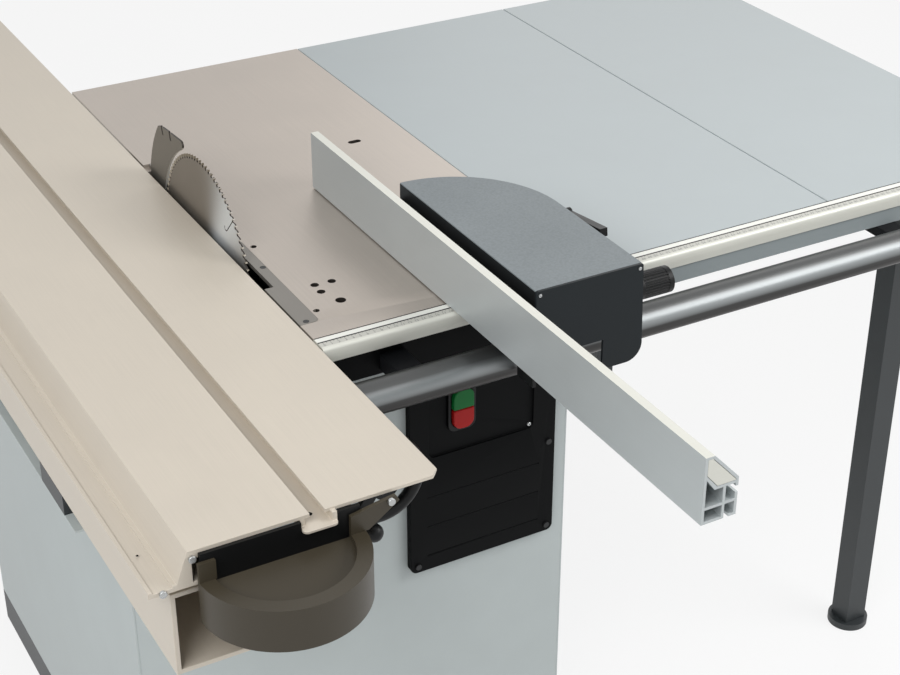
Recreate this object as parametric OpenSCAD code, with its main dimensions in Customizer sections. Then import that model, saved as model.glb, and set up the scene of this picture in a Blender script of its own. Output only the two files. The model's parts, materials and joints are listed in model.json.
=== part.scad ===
/* [Stand] */
// Height of the table top above the floor
table_h = 890; // [820:1:960]
// Cabinet wall to the left of the blade
cab_left = 268; // [260:1:300]
// Cabinet wall to the right of the blade
cab_right = 396; // [380:1:398]
// Cabinet front, before the arbor
cab_front = 340; // [325:1:350]
// Cabinet back, behind the arbor
cab_back = 420; // [380:1:480]
// Thickness of the cabinet sheets
sheet_t = 3; // [2:0.5:4]
// Height of the base frame
base_h = 60; // [40:1:90]
/* [Blade and arbor] */
// Diameter of the saw blade
blade_d = 315; // [300:1:315]
// Thickness of the blade's plate
blade_t = 2.2; // [1.8:0.1:2.6]
// Width of the blade's teeth
kerf = 3.2; // [3:0.1:3.6]
// Number of teeth
teeth = 96; // [60:4:120]
// Depth of the arbor below the table top
arbor_drop = 60; // [60:1:66]
// Diameter of the arbor
arbor_d = 30; // [25:1:30]
// Largest tilt of the blade in degrees
tilt_max = 45; // [30:1:45]
/* [Main table] */
// Table edge to the left of the blade
table_left = 6; // [5:0.5:7]
// Table edge to the right of the blade
table_right = 400; // [400:1:430]
// Table edge before the arbor
table_front = 366; // [355:1:380]
// Table edge behind the arbor
table_back = 560; // [500:1:620]
// Thickness of the table's plate
table_t = 14; // [12:0.5:14]
// Depth of the table's rim
rim_h = 42; // [36:1:46]
// Thickness of the table's rim and ribs
rim_w = 16; // [12:1:20]
/* [Extension tables] */
// Width of each extension table
ext_w = 414; // [350:1:450]
// Thickness of the extension's top sheet
ext_t = 5; // [3:0.5:8]
// Depth of the extension's folded rim
ext_rim_h = 40; // [30:1:50]
/* [Rip fence] */
// Fence face to the right of the blade
fence_x = 183; // [175:1:260]
// Length of the fence profile
fence_l = 964; // [850:1:1100]
// Near end of the fence before the arbor
fence_near = 929; // [880:1:960]
// Height of the fence profile
fence_h = 86; // [80:1:95]
// Width of the fence profile
fence_w = 46; // [44:1:52]
// Wall of the fence profile
fence_wall = 3.4; // [3:0.1:3.8]
// Width of the carrier
carrier_w = 158; // [140:1:170]
// Height of the carrier above the table
carrier_h = 76; // [72:1:82]
// Diameter of the guide bar
bar_d = 47; // [42:1:50]
// Diameter of the fine adjusting knob
knob_d = 36; // [32:1:42]
/* [Sliding table] */
// Length of the sliding table
slide_l = 2050; // [1900:1:2300]
// Near end of the sliding table before the arbor
slide_near = 704; // [690:1:760]
// Gap between blade plane and sliding table
slide_right = 8.5; // [8:0.5:10]
// Left edge of the sliding table's top
slide_left = 312; // [300:1:325]
// Thickness of the sliding table's plate
slide_t = 9; // [8:0.5:9]
// Width of the T-slot
tslot_w = 18; // [14:1:20]
// Outer radius of the push handle
bow_r = 98; // [85:1:105]
/* [Handwheels] */
// Diameter of the handwheels
wheel_d = 132; // [110:1:140]
// Lift wheel to the right of the blade
wheel_x = 45; // [42:1:48]
// Lift wheel below the table top
wheel_drop = 186; // [180:1:190]
/* [Hidden] */
$fn = 64;
// Overrun of every cut
over = 1;
// Running clearance of shafts, and gap between curved faces
run = 0.05;
gap = 0.3;

// Two corners make a box
module span(a, b) {
    translate(a) cube(b - a);
}
module rod_x(r, x0, x1, y, z) {
    translate([x0, y, z]) rotate([0, 90, 0]) cylinder(r = r, h = x1 - x0);
}
module rod_y(r, y0, y1, x, z) {
    translate([x, y0, z]) rotate([-90, 0, 0]) cylinder(r = r, h = y1 - y0);
}
module rod_z(r, z0, z1, x, y) {
    translate([x, y, z0]) cylinder(r = r, h = z1 - z0);
}
// Outlines drawn in Y-Z, X-Z or X-Y, pushed along the third axis
module prism_x(x0, x1) {
    translate([x0, 0, 0]) rotate([90, 0, 90]) linear_extrude(x1 - x0) children();
}
module prism_y(y0, y1) {
    translate([0, y1, 0]) rotate([90, 0, 0]) linear_extrude(y1 - y0) children();
}
module prism_z(z0, z1) {
    translate([0, 0, z0]) linear_extrude(z1 - z0) children();
}
module rect(a, b) {
    translate(a) square(b - a);
}
module round_rect(a, b, r) {
    rect([a[0] + r, a[1]], [b[0] - r, b[1]]);
    rect([a[0], a[1] + r], [b[0], b[1] - r]);
    for (x = [a[0] + r, b[0] - r], y = [a[1] + r, b[1] - r]) translate([x, y]) circle(r);
}
// Ring sector about the origin, less than half a turn
module sector(r0, r1, a0, a1) {
    far = 2 * r1;
    mid = (a0 + a1) / 2;
    intersection() {
        difference() {
            circle(r1);
            circle(r0);
        }
        polygon([[0, 0], far * [cos(a0), sin(a0)], far * [cos(mid), sin(mid)],
            far * [cos(a1), sin(a1)]]);
    }
}
// Heights below are counted from the table top, where the tilt axis lies
module at_top() {
    translate([0, 0, table_h]) children();
}

// Stand
anchor_r = 6.5;
anchor_in = 45;
base_wall = 8;
left_top = 200;
flange_out = 62;
front_step = 62;
step_x = 200;
floor_z = base_h - table_h;
port_r = 60;
port_wall = 3;
port_l = 70;
port_up = 250;
port_z = port_up - table_h;

module base_frame() color([0.30, 0.32, 0.33]) difference() {
    span([-cab_left, -cab_front, 0], [cab_right, cab_back, base_h]);
    span([base_wall - cab_left, base_wall - cab_front, base_wall],
         [cab_right - base_wall, cab_back - base_wall, base_h + over]);
    for (x = [anchor_in - cab_left, cab_right - anchor_in],
        y = [anchor_in - cab_front, cab_back - anchor_in])
        rod_z(anchor_r, -over, base_wall + over, x, y);
}
// Outline shared by the front and back sheets, stepped under the sliding table
module end_outline() {
    polygon([[sheet_t - cab_left, floor_z], [cab_right - sheet_t, floor_z],
        [cab_right - sheet_t, -rim_h],
             [-table_left, -rim_h], [-table_left, -front_step], [-step_x, -front_step],
                 [-step_x, -left_top],
             [sheet_t - cab_left, -left_top]]);
}
lift_r = norm([wheel_x, wheel_drop]);
lift_a = atan2(-wheel_drop, wheel_x);
lift_slot_r = 14;
module cabinet_front() at_top() color([0.68, 0.71, 0.72]) difference() {
    prism_y(-cab_front, sheet_t - cab_front) difference() {
        end_outline();
        sector(lift_r - lift_slot_r, lift_r + lift_slot_r, lift_a - tilt_max, lift_a);
        for (a = [lift_a, lift_a - tilt_max]) rotate(a) translate([lift_r, 0])
            circle(lift_slot_r - gap);
        rect([cover_l + cover_edge, cover_low + cover_edge],
            [cover_r - cover_edge, cover_high - cover_edge]);
    }
}
module cabinet_back() at_top() color([0.68, 0.71, 0.72]) difference() {
    prism_y(cab_back - sheet_t, cab_back) end_outline();
    rod_y(port_r - port_wall, cab_back - sheet_t - over, cab_back + over, port_x, port_z);
}
port_x = (cab_right - cab_left) / 2;
module cabinet_left() at_top() color([0.68, 0.71, 0.72]) {
    span([-cab_left, -cab_front, floor_z], [sheet_t - cab_left, cab_back, -left_top]);
    span([-cab_left - flange_out, -cab_front, -left_top - sheet_t], [-cab_left, cab_back, -left_top]);
}
module cabinet_right() at_top() color([0.68, 0.71, 0.72]) difference() {
    union() {
        span([cab_right - sheet_t, -cab_front, floor_z], [cab_right, cab_back, -rim_h]);
        rod_x(worm_boss_r, cab_right - worm_boss_l, cab_right + sheet_t, worm_y, worm_z);
    }
    rod_x(worm_shaft_r + run, cab_right - worm_boss_l - over, cab_right + sheet_t + over, worm_y,
        worm_z);
}
module dust_port() at_top() color([0.15, 0.16, 0.17]) difference() {
    union() {
        rod_y(port_r, cab_back, cab_back + port_l, port_x, port_z);
        rod_y(port_r + base_wall, cab_back, cab_back + sheet_t, port_x, port_z);
    }
    rod_y(port_r - port_wall, cab_back - over, cab_back + port_l + over, port_x, port_z);
}

// Switch cover on the cabinet's front
cover_l = 136;
cover_r = 369;
cover_high = -70;
cover_low = -433;
cover_edge = 12;
cover_d = 12;
cover_t = 3;
cover_round = 10;
recess_d = 4;
recess_high = -84;
recess_low = -246;
recess_l = 165;
recess_r = 332;
line_share = 0.335;
line_count = 3;
line_pitch = 49;
line_h = 3;
line_d = 1.5;
line_in = 26;
screw_r = 4.5;
screw_h = 2.5;
screw_in = 11;
screw_shares = [0.03, 0.43];
btn_x = 217;
btn_mid = -176;
btn_w = 32;
btn_h = 31;
btn_round = 13;
btn_out = 11;
btn_travel = 4;
btn_depth = 24;
bezel_rim = 5;
bezel_out = 5;
bezel_round = 12;
bezel_back = 30;
btn_gap = 0.5;
cover_y = -cab_front - cover_d;
module button_pair(grow) {
    round_rect([btn_x - btn_w / 2 - grow, btn_mid - btn_h - grow],
        [btn_x + btn_w / 2 + grow, btn_mid + btn_h + grow],
        btn_round);
}
bezel_w = btn_w / 2 + btn_gap + bezel_rim;
bezel_h = btn_h + btn_gap + bezel_rim;
module bezel_outline(grow) {
    round_rect([btn_x - bezel_w - grow, btn_mid - bezel_h - grow],
        [btn_x + bezel_w + grow, btn_mid + bezel_h + grow],
        bezel_round);
}
module front_cover() at_top() color([0.13, 0.15, 0.16]) {
    difference() {
        prism_y(cover_y, -cab_front)
            round_rect([cover_l, cover_low], [cover_r, cover_high], cover_round);
        for (k = [0:line_count - 1]) {
            z = cover_low + line_share * (cover_high - cover_low) - k * line_pitch;
            span([cover_l + line_in, cover_y - over, z], [cover_r - line_in, cover_y + line_d, z + line_h]);
        }
        prism_y(cover_y - over, cover_y + recess_d)
            round_rect([recess_l, recess_low], [recess_r, recess_high], cover_round);
        prism_y(cover_y + recess_d + cover_t, -cab_front + over)
            round_rect([cover_l + cover_t, cover_low + cover_t],
                [cover_r - cover_t, cover_high - cover_t],
                cover_round - cover_t);
        prism_y(cover_y - over, -cab_front + over) bezel_outline(0);
    }
}
module panel_screws() at_top() color([0.62, 0.64, 0.65]) {
    for (x = [cover_l + screw_in, cover_r - screw_in], s = screw_shares)
        rod_y(screw_r, cover_y - screw_h, cover_y, x, cover_low + s * (cover_high - cover_low));
    for (p = insert_screws) rod_z(insert_screw_r, -insert_t, 0, p[0], p[1]);
}
module switch_bezel() at_top() color([0.07, 0.07, 0.08]) difference() {
    prism_y(cover_y + recess_d - bezel_out, cover_y + bezel_back) bezel_outline(-run);
    prism_y(cover_y - bezel_out - over, cover_y + recess_d - bezel_out + btn_depth)
        button_pair(btn_gap);
}
module push_button(low, high) {
    y0 = cover_y + recess_d - btn_out;
    prism_y(y0, y0 + btn_depth) intersection() {
        button_pair(0);
        rect([btn_x - btn_w, low], [btn_x + btn_w, high]);
    }
}
module start_button() at_top() color([0.05, 0.42, 0.18])
    push_button(btn_mid + btn_gap / 2, btn_mid + 2 * btn_h);
module stop_button() at_top() color([0.80, 0.10, 0.12])
    push_button(btn_mid - 2 * btn_h, btn_mid - btn_gap / 2);

// Main table, insert and extension tables
insert_r = 21.7;
insert_front = -327;
insert_back = 232;
insert_t = 6;
insert_gap = 0.2;
insert_round = 8;
ledge_w = 8;
ledge_end = 13;
slot_gap = 1.5;
slot_clear = 4.4;
slot_front = -sqrt(pow(blade_d / 2, 2) - pow(arbor_drop, 2)) - slot_clear;
score_r = 7;
score_front = -216;
score_back = -125;
insert_screw_r = 4;
insert_screws = [[5.4, insert_front + ledge_end / 2], [insert_r - ledge_w / 2 - insert_gap, -158],
                 [insert_r - ledge_w / 2 - insert_gap, 120]];
table_holes = [[30.8, -95.6, 8.6], [57, -237, 11], [81.6, -238, 11], [56.5, -258, 11], [69, -291, 14],
    [29, -301, 8.6]];
oblong_x = 311;
oblong_y = 156;
oblong_l = 21;
oblong_w = 10;
rib_x = 230;
rib_ys = [-320, 0, 330];
module insert_pocket(grow) {
    difference() {
        rect([-table_left - over, insert_front - grow], [insert_r + grow, insert_back + grow]);
        translate([insert_r + grow - insert_round, insert_front - grow]) difference() {
            rect([0, -over], [insert_round + over, insert_round]);
            translate([0, insert_round]) circle(insert_round);
        }
    }
}
module main_table() at_top() color([0.70, 0.68, 0.65]) difference() {
    union() {
        span([-table_left, -table_front, -table_t], [table_right, table_back, 0]);
        difference() {
            span([-table_left, -table_front, -rim_h], [table_right, table_back, -table_t]);
            span([rim_w - table_left, rim_w - table_front, -rim_h - over],
                 [table_right - rim_w, table_back - rim_w, -table_t + over]);
        }
        span([rib_x, -table_front, -rim_h], [rib_x + rim_w, table_back, -table_t]);
        for (y = rib_ys) span([rib_x, y, -rim_h], [table_right, y + rim_w, -table_t]);
    }
    prism_z(-insert_t, over) insert_pocket(insert_gap);
    span([-table_left - over, insert_front + ledge_end, -rim_h - over],
        [insert_r - ledge_w, insert_back - ledge_end, over]);
    span([-table_left - over, insert_front, -rim_h - over], [rim_w, insert_back, -table_t]);
    for (h = table_holes) rod_z(h[2] / 2, -rim_h - over, over, h[0], h[1]);
    prism_z(-rim_h - over, over)
        round_rect([oblong_x - oblong_l / 2, oblong_y - oblong_w / 2],
            [oblong_x + oblong_l / 2, oblong_y + oblong_w / 2],
            oblong_w / 2 - run);
}
module table_insert() at_top() color([0.42, 0.43, 0.44]) difference() {
    prism_z(-insert_t, 0) intersection() {
        insert_pocket(0);
        rect([-table_left, insert_front], [insert_r, insert_back]);
    }
    span([-table_left - over, slot_front, -insert_t - over],
        [kerf / 2 + slot_gap, insert_back + over, over]);
    span([-table_left - over, score_front, -insert_t - over], [score_r, score_back, over]);
    for (p = insert_screws) rod_z(insert_screw_r + gap, -insert_t - over, over, p[0], p[1]);
}
ext_sheet = 3;
seam = 1.2;
module extension_table(x0) {
    difference() {
        span([x0 + seam, -table_front, -ext_rim_h], [x0 + ext_w, table_back, 0]);
        span([x0 + seam + ext_sheet, ext_sheet - table_front, -ext_rim_h - over],
             [x0 + ext_w - ext_sheet, table_back - ext_sheet, -ext_t]);
    }
}
module extension_table_inner() at_top() color([0.66, 0.70, 0.71]) extension_table(table_right);
module extension_table_outer() at_top() color([0.66, 0.70, 0.71]) extension_table(table_right + ext_w);
leg_in = 60;
leg_in_side = 203;
leg_w = 40;
leg_foot_r = 34;
leg_foot_h = 12;
module extension_legs() at_top() color([0.25, 0.27, 0.28]) {
    x = table_right + 2 * ext_w - leg_in_side;
    for (y = [leg_in - table_front, table_back - leg_in]) {
        span([x - leg_w / 2, y - leg_w / 2, leg_foot_h - table_h],
            [x + leg_w / 2, y + leg_w / 2, -ext_t]);
        rod_z(leg_foot_r, -table_h, leg_foot_h - table_h, x, y);
    }
}

// Front rail, guide bar and its brackets
rail_d = 29;
rail_round = 5;
rail_lip = 22;
rail_web = 12;
rail_web_h = 70;
rail_groove_w = 1.2;
rail_groove_d = 1.5;
rail_grooves = [0.8, 12.4];
apron_t = 4;
apron_in = 23;
apron_h = 26;
apron_x = 6;
bar_y = -444;
bar_z = -57;
bar_left = -40;
bar_over = 60;
rail_end = table_right + 2 * ext_w;
bracket_w = 36;
bracket_low = -64;
bracket_hold = 12;
bracket_shares = [0.08, 0.27, 0.74, 0.96];
module rail_shape(web_h) {
    rect([-table_front - rail_d + rail_round, -rail_lip], [-table_front, 0]);
    rect([-table_front - rail_d, -rail_lip], [-table_front, -rail_round]);
    translate([-table_front - rail_d + rail_round, -rail_round]) circle(rail_round);
    rect([-table_front - rail_web, -web_h], [-table_front, -rail_lip]);
}
module front_rail() at_top() color([0.80, 0.80, 0.77]) difference() {
    union() {
        prism_x(-table_left, table_right) rail_shape(rail_web_h);
        prism_x(table_right, rail_end) rail_shape(ext_rim_h);
    }
    for (g = rail_grooves)
        span([-table_left - over, -table_front - g - rail_groove_w, -rail_groove_d],
            [rail_end + over, -table_front - g, over]);
}
module rail_apron() at_top() color([0.42, 0.46, 0.48])
    span([table_right + apron_x, -table_front - apron_in - apron_t, -rail_lip - apron_h],
        [rail_end, -table_front - apron_in, -rail_lip]);
module guide_bar() at_top() color([0.78, 0.79, 0.80])
    rod_x(bar_d / 2, bar_left, rail_end + bar_over, bar_y, bar_z);
module bar_brackets() at_top() color([0.10, 0.11, 0.12]) difference() {
    for (s = bracket_shares) {
        x = s * rail_end;
        right = x > table_right;
        span([x - bracket_w / 2, bar_y + bracket_hold, bracket_low],
            [x + bracket_w / 2, -table_front - rail_web, right ? -rail_lip - apron_h : -ext_rim_h]);
        if (right)
            span([x - bracket_w / 2, -table_front - apron_in, bracket_low],
                [x + bracket_w / 2, -table_front, -ext_rim_h]);
    }
    rod_x(bar_d / 2 + gap, bar_left, rail_end + bar_over, bar_y, bar_z);
}

// Trunnions: rings about the tilt axis carry the tilt frame
trun_r = 135;
trun_w = 16;
trun_wall = 12;
trun_y = 215;
trun_gap = 15;
trun_t = 32;
trun_depth = 12;
trun_a0 = -93;
trun_a1 = -18;
trun_web_l = 40;
trun_web_r = 165;
key_a0 = -43;
key_a1 = -22;
leg_l = 42;
leg_t = 30;
// Fixed bracket on the positive Y side, with the ring's groove open towards the blade
module trunnion_bracket() {
    y0 = trun_y + trun_gap;
    difference() {
        union() {
            prism_y(y0, y0 + trun_t) sector(trun_r - trun_w / 2 - trun_wall,
                trun_r + trun_w / 2 + trun_wall, trun_a0, trun_a1);
            prism_y(y0 + trun_depth + gap, y0 + trun_t) difference() {
                rect([trun_web_l, -trun_r * sin(-trun_a1) - trun_w], [trun_web_r, -table_t]);
                circle(trun_r - trun_w);
            }
        }
        prism_y(y0 - over, y0 + trun_depth)
            sector(trun_r - trun_w / 2 - gap, trun_r + trun_w / 2 + gap, trun_a0 - over,
                trun_a1 + over);
    }
}
module trunnion_brackets() at_top() color([0.20, 0.22, 0.23]) {
    mirror([0, 1, 0]) trunnion_bracket();
    difference() {
        union() {
            trunnion_bracket();
            y1 = trun_y + trun_gap + trun_t;
            span([leg_l, y1 - trun_t / 2, worm_z - worm_r], [leg_l + leg_t, y1, -trun_r]);
            span([leg_l, worm_y - worm_r, worm_z - worm_r],
                [leg_l + leg_t, y1 - trun_t / 2, worm_z + worm_lug]);
        }
        rod_x(worm_shaft_r + run, leg_l - over, leg_l + leg_t + over, worm_y, worm_z);
    }
}
module trunnion_keys() at_top() color([0.55, 0.56, 0.57]) for (m = [0, 1]) mirror([0, m, 0])
    prism_y(trun_y, trun_y + trun_gap + trun_depth - gap)
        sector(trun_r - trun_w / 2, trun_r + trun_w / 2, key_a0, key_a1);

// Tilt frame with two columns that guide the saw saddle
frame_l = 30;
frame_r = 110;
frame_low = -385;
frame_t = 15;
plate_shares = [[1.18, 0.31], [1.27, 0.19], [1.05, 0.12], [0.86, 0.20], [0, 0.36]];
col_x = 75;
col_y = 130;
col_r = 15;
col_top = -112;
lug_w = 20;
screw_y = -170;
lift_screw_r = 8;
lift_shaft_r = 8;
lug_z = -154;
lug_h = 12;
lug_half = 12;
module tilt_plate() {
    polygon(concat([[frame_l, frame_low], [frame_r, frame_low]],
        [for (s = plate_shares) [frame_l + s[0] * (frame_r - frame_l), s[1] * frame_low]]));
}
module tilt_frame() at_top() color([0.24, 0.26, 0.27]) difference() {
    union() {
        prism_y(-trun_y, frame_t - trun_y) tilt_plate();
        prism_y(trun_y - frame_t, trun_y) tilt_plate();
        span([frame_l, -trun_y, frame_low], [frame_r, trun_y, frame_low + frame_t]);
        for (m = [0, 1]) mirror([0, m, 0])
            span([col_x - lug_w, col_y - lug_w, col_top - frame_t],
                [col_x + lug_w, trun_y - frame_t, col_top]);
        span([wheel_x - lug_half, -trun_y, lug_z - lug_h],
            [wheel_x + lug_half, screw_y + lug_half, lug_z]);
    }
    for (y = [-col_y, col_y]) rod_z(col_r + run, frame_low - over, col_top + over, col_x, y);
    rod_z(lift_screw_r + run, frame_low - over, lug_z + over, wheel_x, screw_y);
    rod_y(lift_shaft_r + run, -trun_y - over, frame_t - trun_y + over, wheel_x, -wheel_drop);
}
module guide_columns() at_top() color([0.72, 0.73, 0.74])
    for (y = [-col_y, col_y]) rod_z(col_r, frame_low, col_top, col_x, y);

// Tilt drive: a worm on a shaft through the right wall turns a toothed sector
sector_r = 300;
sector_in = 165;
sector_rim = 16;
sector_off = 10;
sector_t = 22;
sector_a0 = -94;
sector_a1 = -42;
tooth_h = 4;
tooth_pitch = 2;
worm_r = 14;
worm_shaft_r = 9;
worm_y = trun_y + (sector_off + sector_t) / 2;
worm_z = -sector_r - worm_r - gap;
worm_half = 30;
worm_thread = 3;
worm_thread_pitch = 9;
worm_thread_w = 4;
worm_lug = 9;
worm_boss_r = 22;
worm_boss_l = 18;
tooth_gap_share = 0.5;
module tilt_sector() at_top() color([0.50, 0.50, 0.48]) difference() {
    union() {
        prism_y(trun_y, trun_y + sector_t)
            sector(sector_in, sector_r - sector_rim, sector_a0, sector_a1);
        prism_y(trun_y + sector_off, trun_y + sector_t)
            sector(sector_r - sector_rim, sector_r, sector_a0, sector_a1);
    }
    for (a = [sector_a0 + tooth_pitch / 2:tooth_pitch:sector_a1 - tooth_pitch / 2])
        prism_y(trun_y + sector_off - over, trun_y + sector_t + over)
            sector(sector_r - tooth_h, sector_r + over, a, a + tooth_pitch * tooth_gap_share);
}
tilt_wheel_out = 75;
tilt_wheel_x = cab_right + tilt_wheel_out;
module tilt_worm_shaft() at_top() color([0.60, 0.61, 0.62]) {
    rod_x(worm_shaft_r, -worm_half, tilt_wheel_x, worm_y, worm_z);
    rod_x(worm_r - worm_thread, -worm_half, worm_half, worm_y, worm_z);
    for (x = [-worm_half:worm_thread_pitch:worm_half - worm_thread_w])
        rod_x(worm_r, x, x + worm_thread_w, worm_y, worm_z);
}

// Handwheel about its own Z axis, hub at the origin, rim above it
rim_r = 9;
hub_r = 19;
hub_h = 34;
spoke_w = 16;
spoke_t = 9;
spokes = 3;
rim_up = 14;
crank_share = 0.84;
crank_pin_r = 5;
crank_pin_l = 44;
crank_r0 = 8;
crank_r1 = 12.5;
crank_l = 44;
crank_lift = 3;
wheel_r = wheel_d / 2;
// Angle of the crank knob about the lift wheel, and of the first spoke
crank_a = -123;
module handwheel(shaft_r) {
    difference() {
        union() {
            translate([0, 0, rim_up]) rotate_extrude() translate([wheel_r - rim_r, 0]) circle(rim_r);
            cylinder(r = hub_r, h = hub_h);
            for (k = [0:spokes - 1]) rotate(crank_a + k * 360 / spokes)
                span([0, -spoke_w / 2, rim_up - spoke_t / 2],
                    [wheel_r - rim_r, spoke_w / 2, rim_up + spoke_t / 2]);
            rotate(crank_a) translate([crank_share * wheel_r, 0, rim_up])
                cylinder(r = crank_pin_r, h = crank_pin_l + rim_r);
        }
        translate([0, 0, -over]) cylinder(r = shaft_r + run, h = hub_h / 2 + over);
    }
}
module crank_knob() {
    rotate(crank_a) translate([crank_share * wheel_r, 0, rim_up + rim_r + crank_lift]) rotate_extrude()
        difference() {
            union() {
                polygon([[0, 0], [crank_r0, 0], [crank_r1, crank_l - crank_r1],
                    [0, crank_l - crank_r1]]);
                translate([0, crank_l - crank_r1]) intersection() {
                    circle(crank_r1);
                    rect([0, 0], [crank_r1, crank_r1]);
                }
            }
            rect([-over, -over], [crank_pin_r + run, crank_pin_l - crank_lift + over]);
        }
}
// The lift wheel faces the operator and the tilt wheel faces right
lift_wheel_y = -425;
module at_lift_wheel() at_top() translate([wheel_x, lift_wheel_y, -wheel_drop]) rotate([90, 0, 0])
    children();
module at_tilt_wheel() at_top() translate([tilt_wheel_x - hub_h / 2, worm_y, worm_z])
    rotate([0, 90, 0]) children();
module lift_handwheel() color([0.09, 0.09, 0.10]) at_lift_wheel() handwheel(lift_shaft_r);
module tilt_handwheel() color([0.09, 0.09, 0.10]) at_tilt_wheel() handwheel(worm_shaft_r);
module lift_knob() color([0.07, 0.07, 0.08]) at_lift_wheel() crank_knob();
module tilt_knob() color([0.07, 0.07, 0.08]) at_tilt_wheel() crank_knob();

// Lift: a bevel pair turns the screw that moves the saddle
bevel_near = 9;
bevel_far = 16;
bevel_gap = 0.4;
neck_r = 4;
// Half of a mitre pair, its tip at the origin and its axis along Z
module bevel() {
    translate([0, 0, bevel_near])
        cylinder(r1 = bevel_near - bevel_gap, r2 = bevel_far - bevel_gap, h = bevel_far - bevel_near);
}
module lift_shaft() at_top() color([0.60, 0.61, 0.62]) {
    rod_y(lift_shaft_r, lift_wheel_y - hub_h / 2, screw_y - bevel_near, wheel_x, -wheel_drop);
    translate([wheel_x, screw_y, -wheel_drop]) rotate([90, 0, 0]) bevel();
}
module lift_screw() at_top() color([0.60, 0.61, 0.62]) {
    rod_z(lift_screw_r, frame_low, -wheel_drop - bevel_near, wheel_x, screw_y);
    rod_z(neck_r, -wheel_drop - bevel_near, lug_z - lug_h, wheel_x, screw_y);
    rod_z(lift_screw_r, lug_z - lug_h, lug_z, wheel_x, screw_y);
    translate([wheel_x, screw_y, -wheel_drop]) mirror([0, 0, 1]) bevel();
}

// Saw saddle: arbor housing, web, column bosses, motor arms and lift nut
house_l = 28;
house_r = 126;
house_rad = 38;
bearing_r = 31;
bearing_w = 16;
bearing_in = 4;
web_l = 63;
web_r = 87;
web_high = -150;
web_low = -240;
neck_half = 30;
boss_r = 26;
motor_z = -230;
motor_x = 170;
motor_l = 188;
motor_r = 68;
flange_half = 80;
flange_t = 10;
arm_y = 66;
arm_t = 14;
arm_h = 34;
nut_high = -225;
nut_low = -246;
nut_half = 13;
arbor_z = -arbor_drop;
module saw_saddle() at_top() color([0.33, 0.36, 0.38]) difference() {
    union() {
        rod_x(house_rad, house_l, house_r, 0, arbor_z);
        span([web_l, -neck_half, web_high], [web_r, neck_half, arbor_z]);
        span([web_l, -col_y, web_low], [web_r, col_y, web_high]);
        for (y = [-col_y, col_y]) rod_z(boss_r, web_low, web_high, col_x, y);
        for (m = [0, 1]) mirror([0, m, 0])
            span([web_r, arm_y, web_low], [motor_x, arm_y + arm_t, web_low + arm_h]);
        span([wheel_x - nut_half, screw_y - nut_half, nut_low], [col_x, -col_y, nut_high]);
    }
    rod_x(bearing_r - bearing_in, house_l - over, house_r + over, 0, arbor_z);
    for (x = [house_l + bearing_in, house_r - bearing_in - bearing_w])
        rod_x(bearing_r + run, x, x + bearing_w, 0, arbor_z);
    rod_x(bearing_r + run, house_l - over, house_l + bearing_in, 0, arbor_z);
    rod_x(bearing_r + run, house_r - bearing_in, house_r + over, 0, arbor_z);
    for (y = [-col_y, col_y]) rod_z(col_r + run, nut_low - over, web_high + over, col_x, y);
    rod_z(lift_screw_r + run, nut_low - over, nut_high + over, wheel_x, screw_y);
}
module arbor_bearings() at_top() color([0.70, 0.70, 0.70])
    for (x = [house_l + bearing_in, house_r - bearing_in - bearing_w]) difference() {
        rod_x(bearing_r, x, x + bearing_w, 0, arbor_z);
        rod_x(arbor_d / 2 + run, x - over, x + bearing_w + over, 0, arbor_z);
    }
fins = 18;
fin_h = 6;
fin_w = 3;
fan_l = 40;
shaft_r = 12;
module motor() at_top() color([0.36, 0.40, 0.43]) difference() {
    union() {
        span([motor_x, -flange_half, motor_z - motor_r],
            [motor_x + flange_t, flange_half, motor_z + motor_r]);
        rod_x(motor_r - fin_h, motor_x + flange_t, motor_x + motor_l, 0, motor_z);
        rod_x(motor_r, motor_x + motor_l - fan_l, motor_x + motor_l, 0, motor_z);
        for (k = [0:fins - 1]) translate([motor_x + flange_t, 0, motor_z])
            rotate([k * 360 / fins, 0, 0])
            span([0, -fin_w / 2, motor_r - 2 * fin_h],
                [motor_l - flange_t - fan_l, fin_w / 2, motor_r - over]);
    }
    rod_x(shaft_r + run, motor_x - over, motor_x + motor_l - fan_l, 0, motor_z);
}

// Arbor group
flange_in_r = 38;
flange_in_l = 12;
flange_out_r = 30;
flange_out_l = 6;
nut_l = 12;
nut_r = 16;
nose_r = 10;
pulley_x = 131;
pulley_w = 26;
arbor_pulley_r = 34;
motor_pulley_r = 48;
rim_lip = 3;
belt_t = 5;
belt_gap = 0.3;
half_t = blade_t / 2;
module arbor_shaft() at_top() color([0.66, 0.67, 0.68]) {
    rod_x(arbor_d / 2, -half_t, pulley_x + pulley_w, 0, arbor_z);
    rod_x(nose_r, -half_t - flange_out_l - nut_l, -half_t, 0, arbor_z);
    rod_x(flange_in_r, half_t, half_t + flange_in_l, 0, arbor_z);
}
tooth_root = 6.5;
tooth_back_share = 0.62;
slots = 4;
slot_l = 22;
slot_w = 2;
eye_r = 4;
module saw_blade() at_top() color([0.62, 0.62, 0.61]) {
    r = blade_d / 2;
    step = 360 / teeth;
    difference() {
        prism_x(-half_t, half_t) translate([0, arbor_z]) mirror([1, 0]) difference() {
            polygon([for (k = [0:teeth - 1]) each [r * [cos(k * step), sin(k * step)],
                (r - tooth_root) * [cos((k + tooth_back_share) * step),
                    sin((k + tooth_back_share) * step)],
                (r - tooth_root) * [cos((k + 1) * step), sin((k + 1) * step)]]]);
            circle(arbor_d / 2 + run);
            for (k = [0:slots - 1]) rotate(k * 360 / slots + step * tooth_back_share) {
                rect([r - tooth_root - slot_l, -slot_w / 2], [r + over, slot_w / 2]);
                translate([r - tooth_root - slot_l, 0]) circle(eye_r);
            }
        }
    }
}
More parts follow.
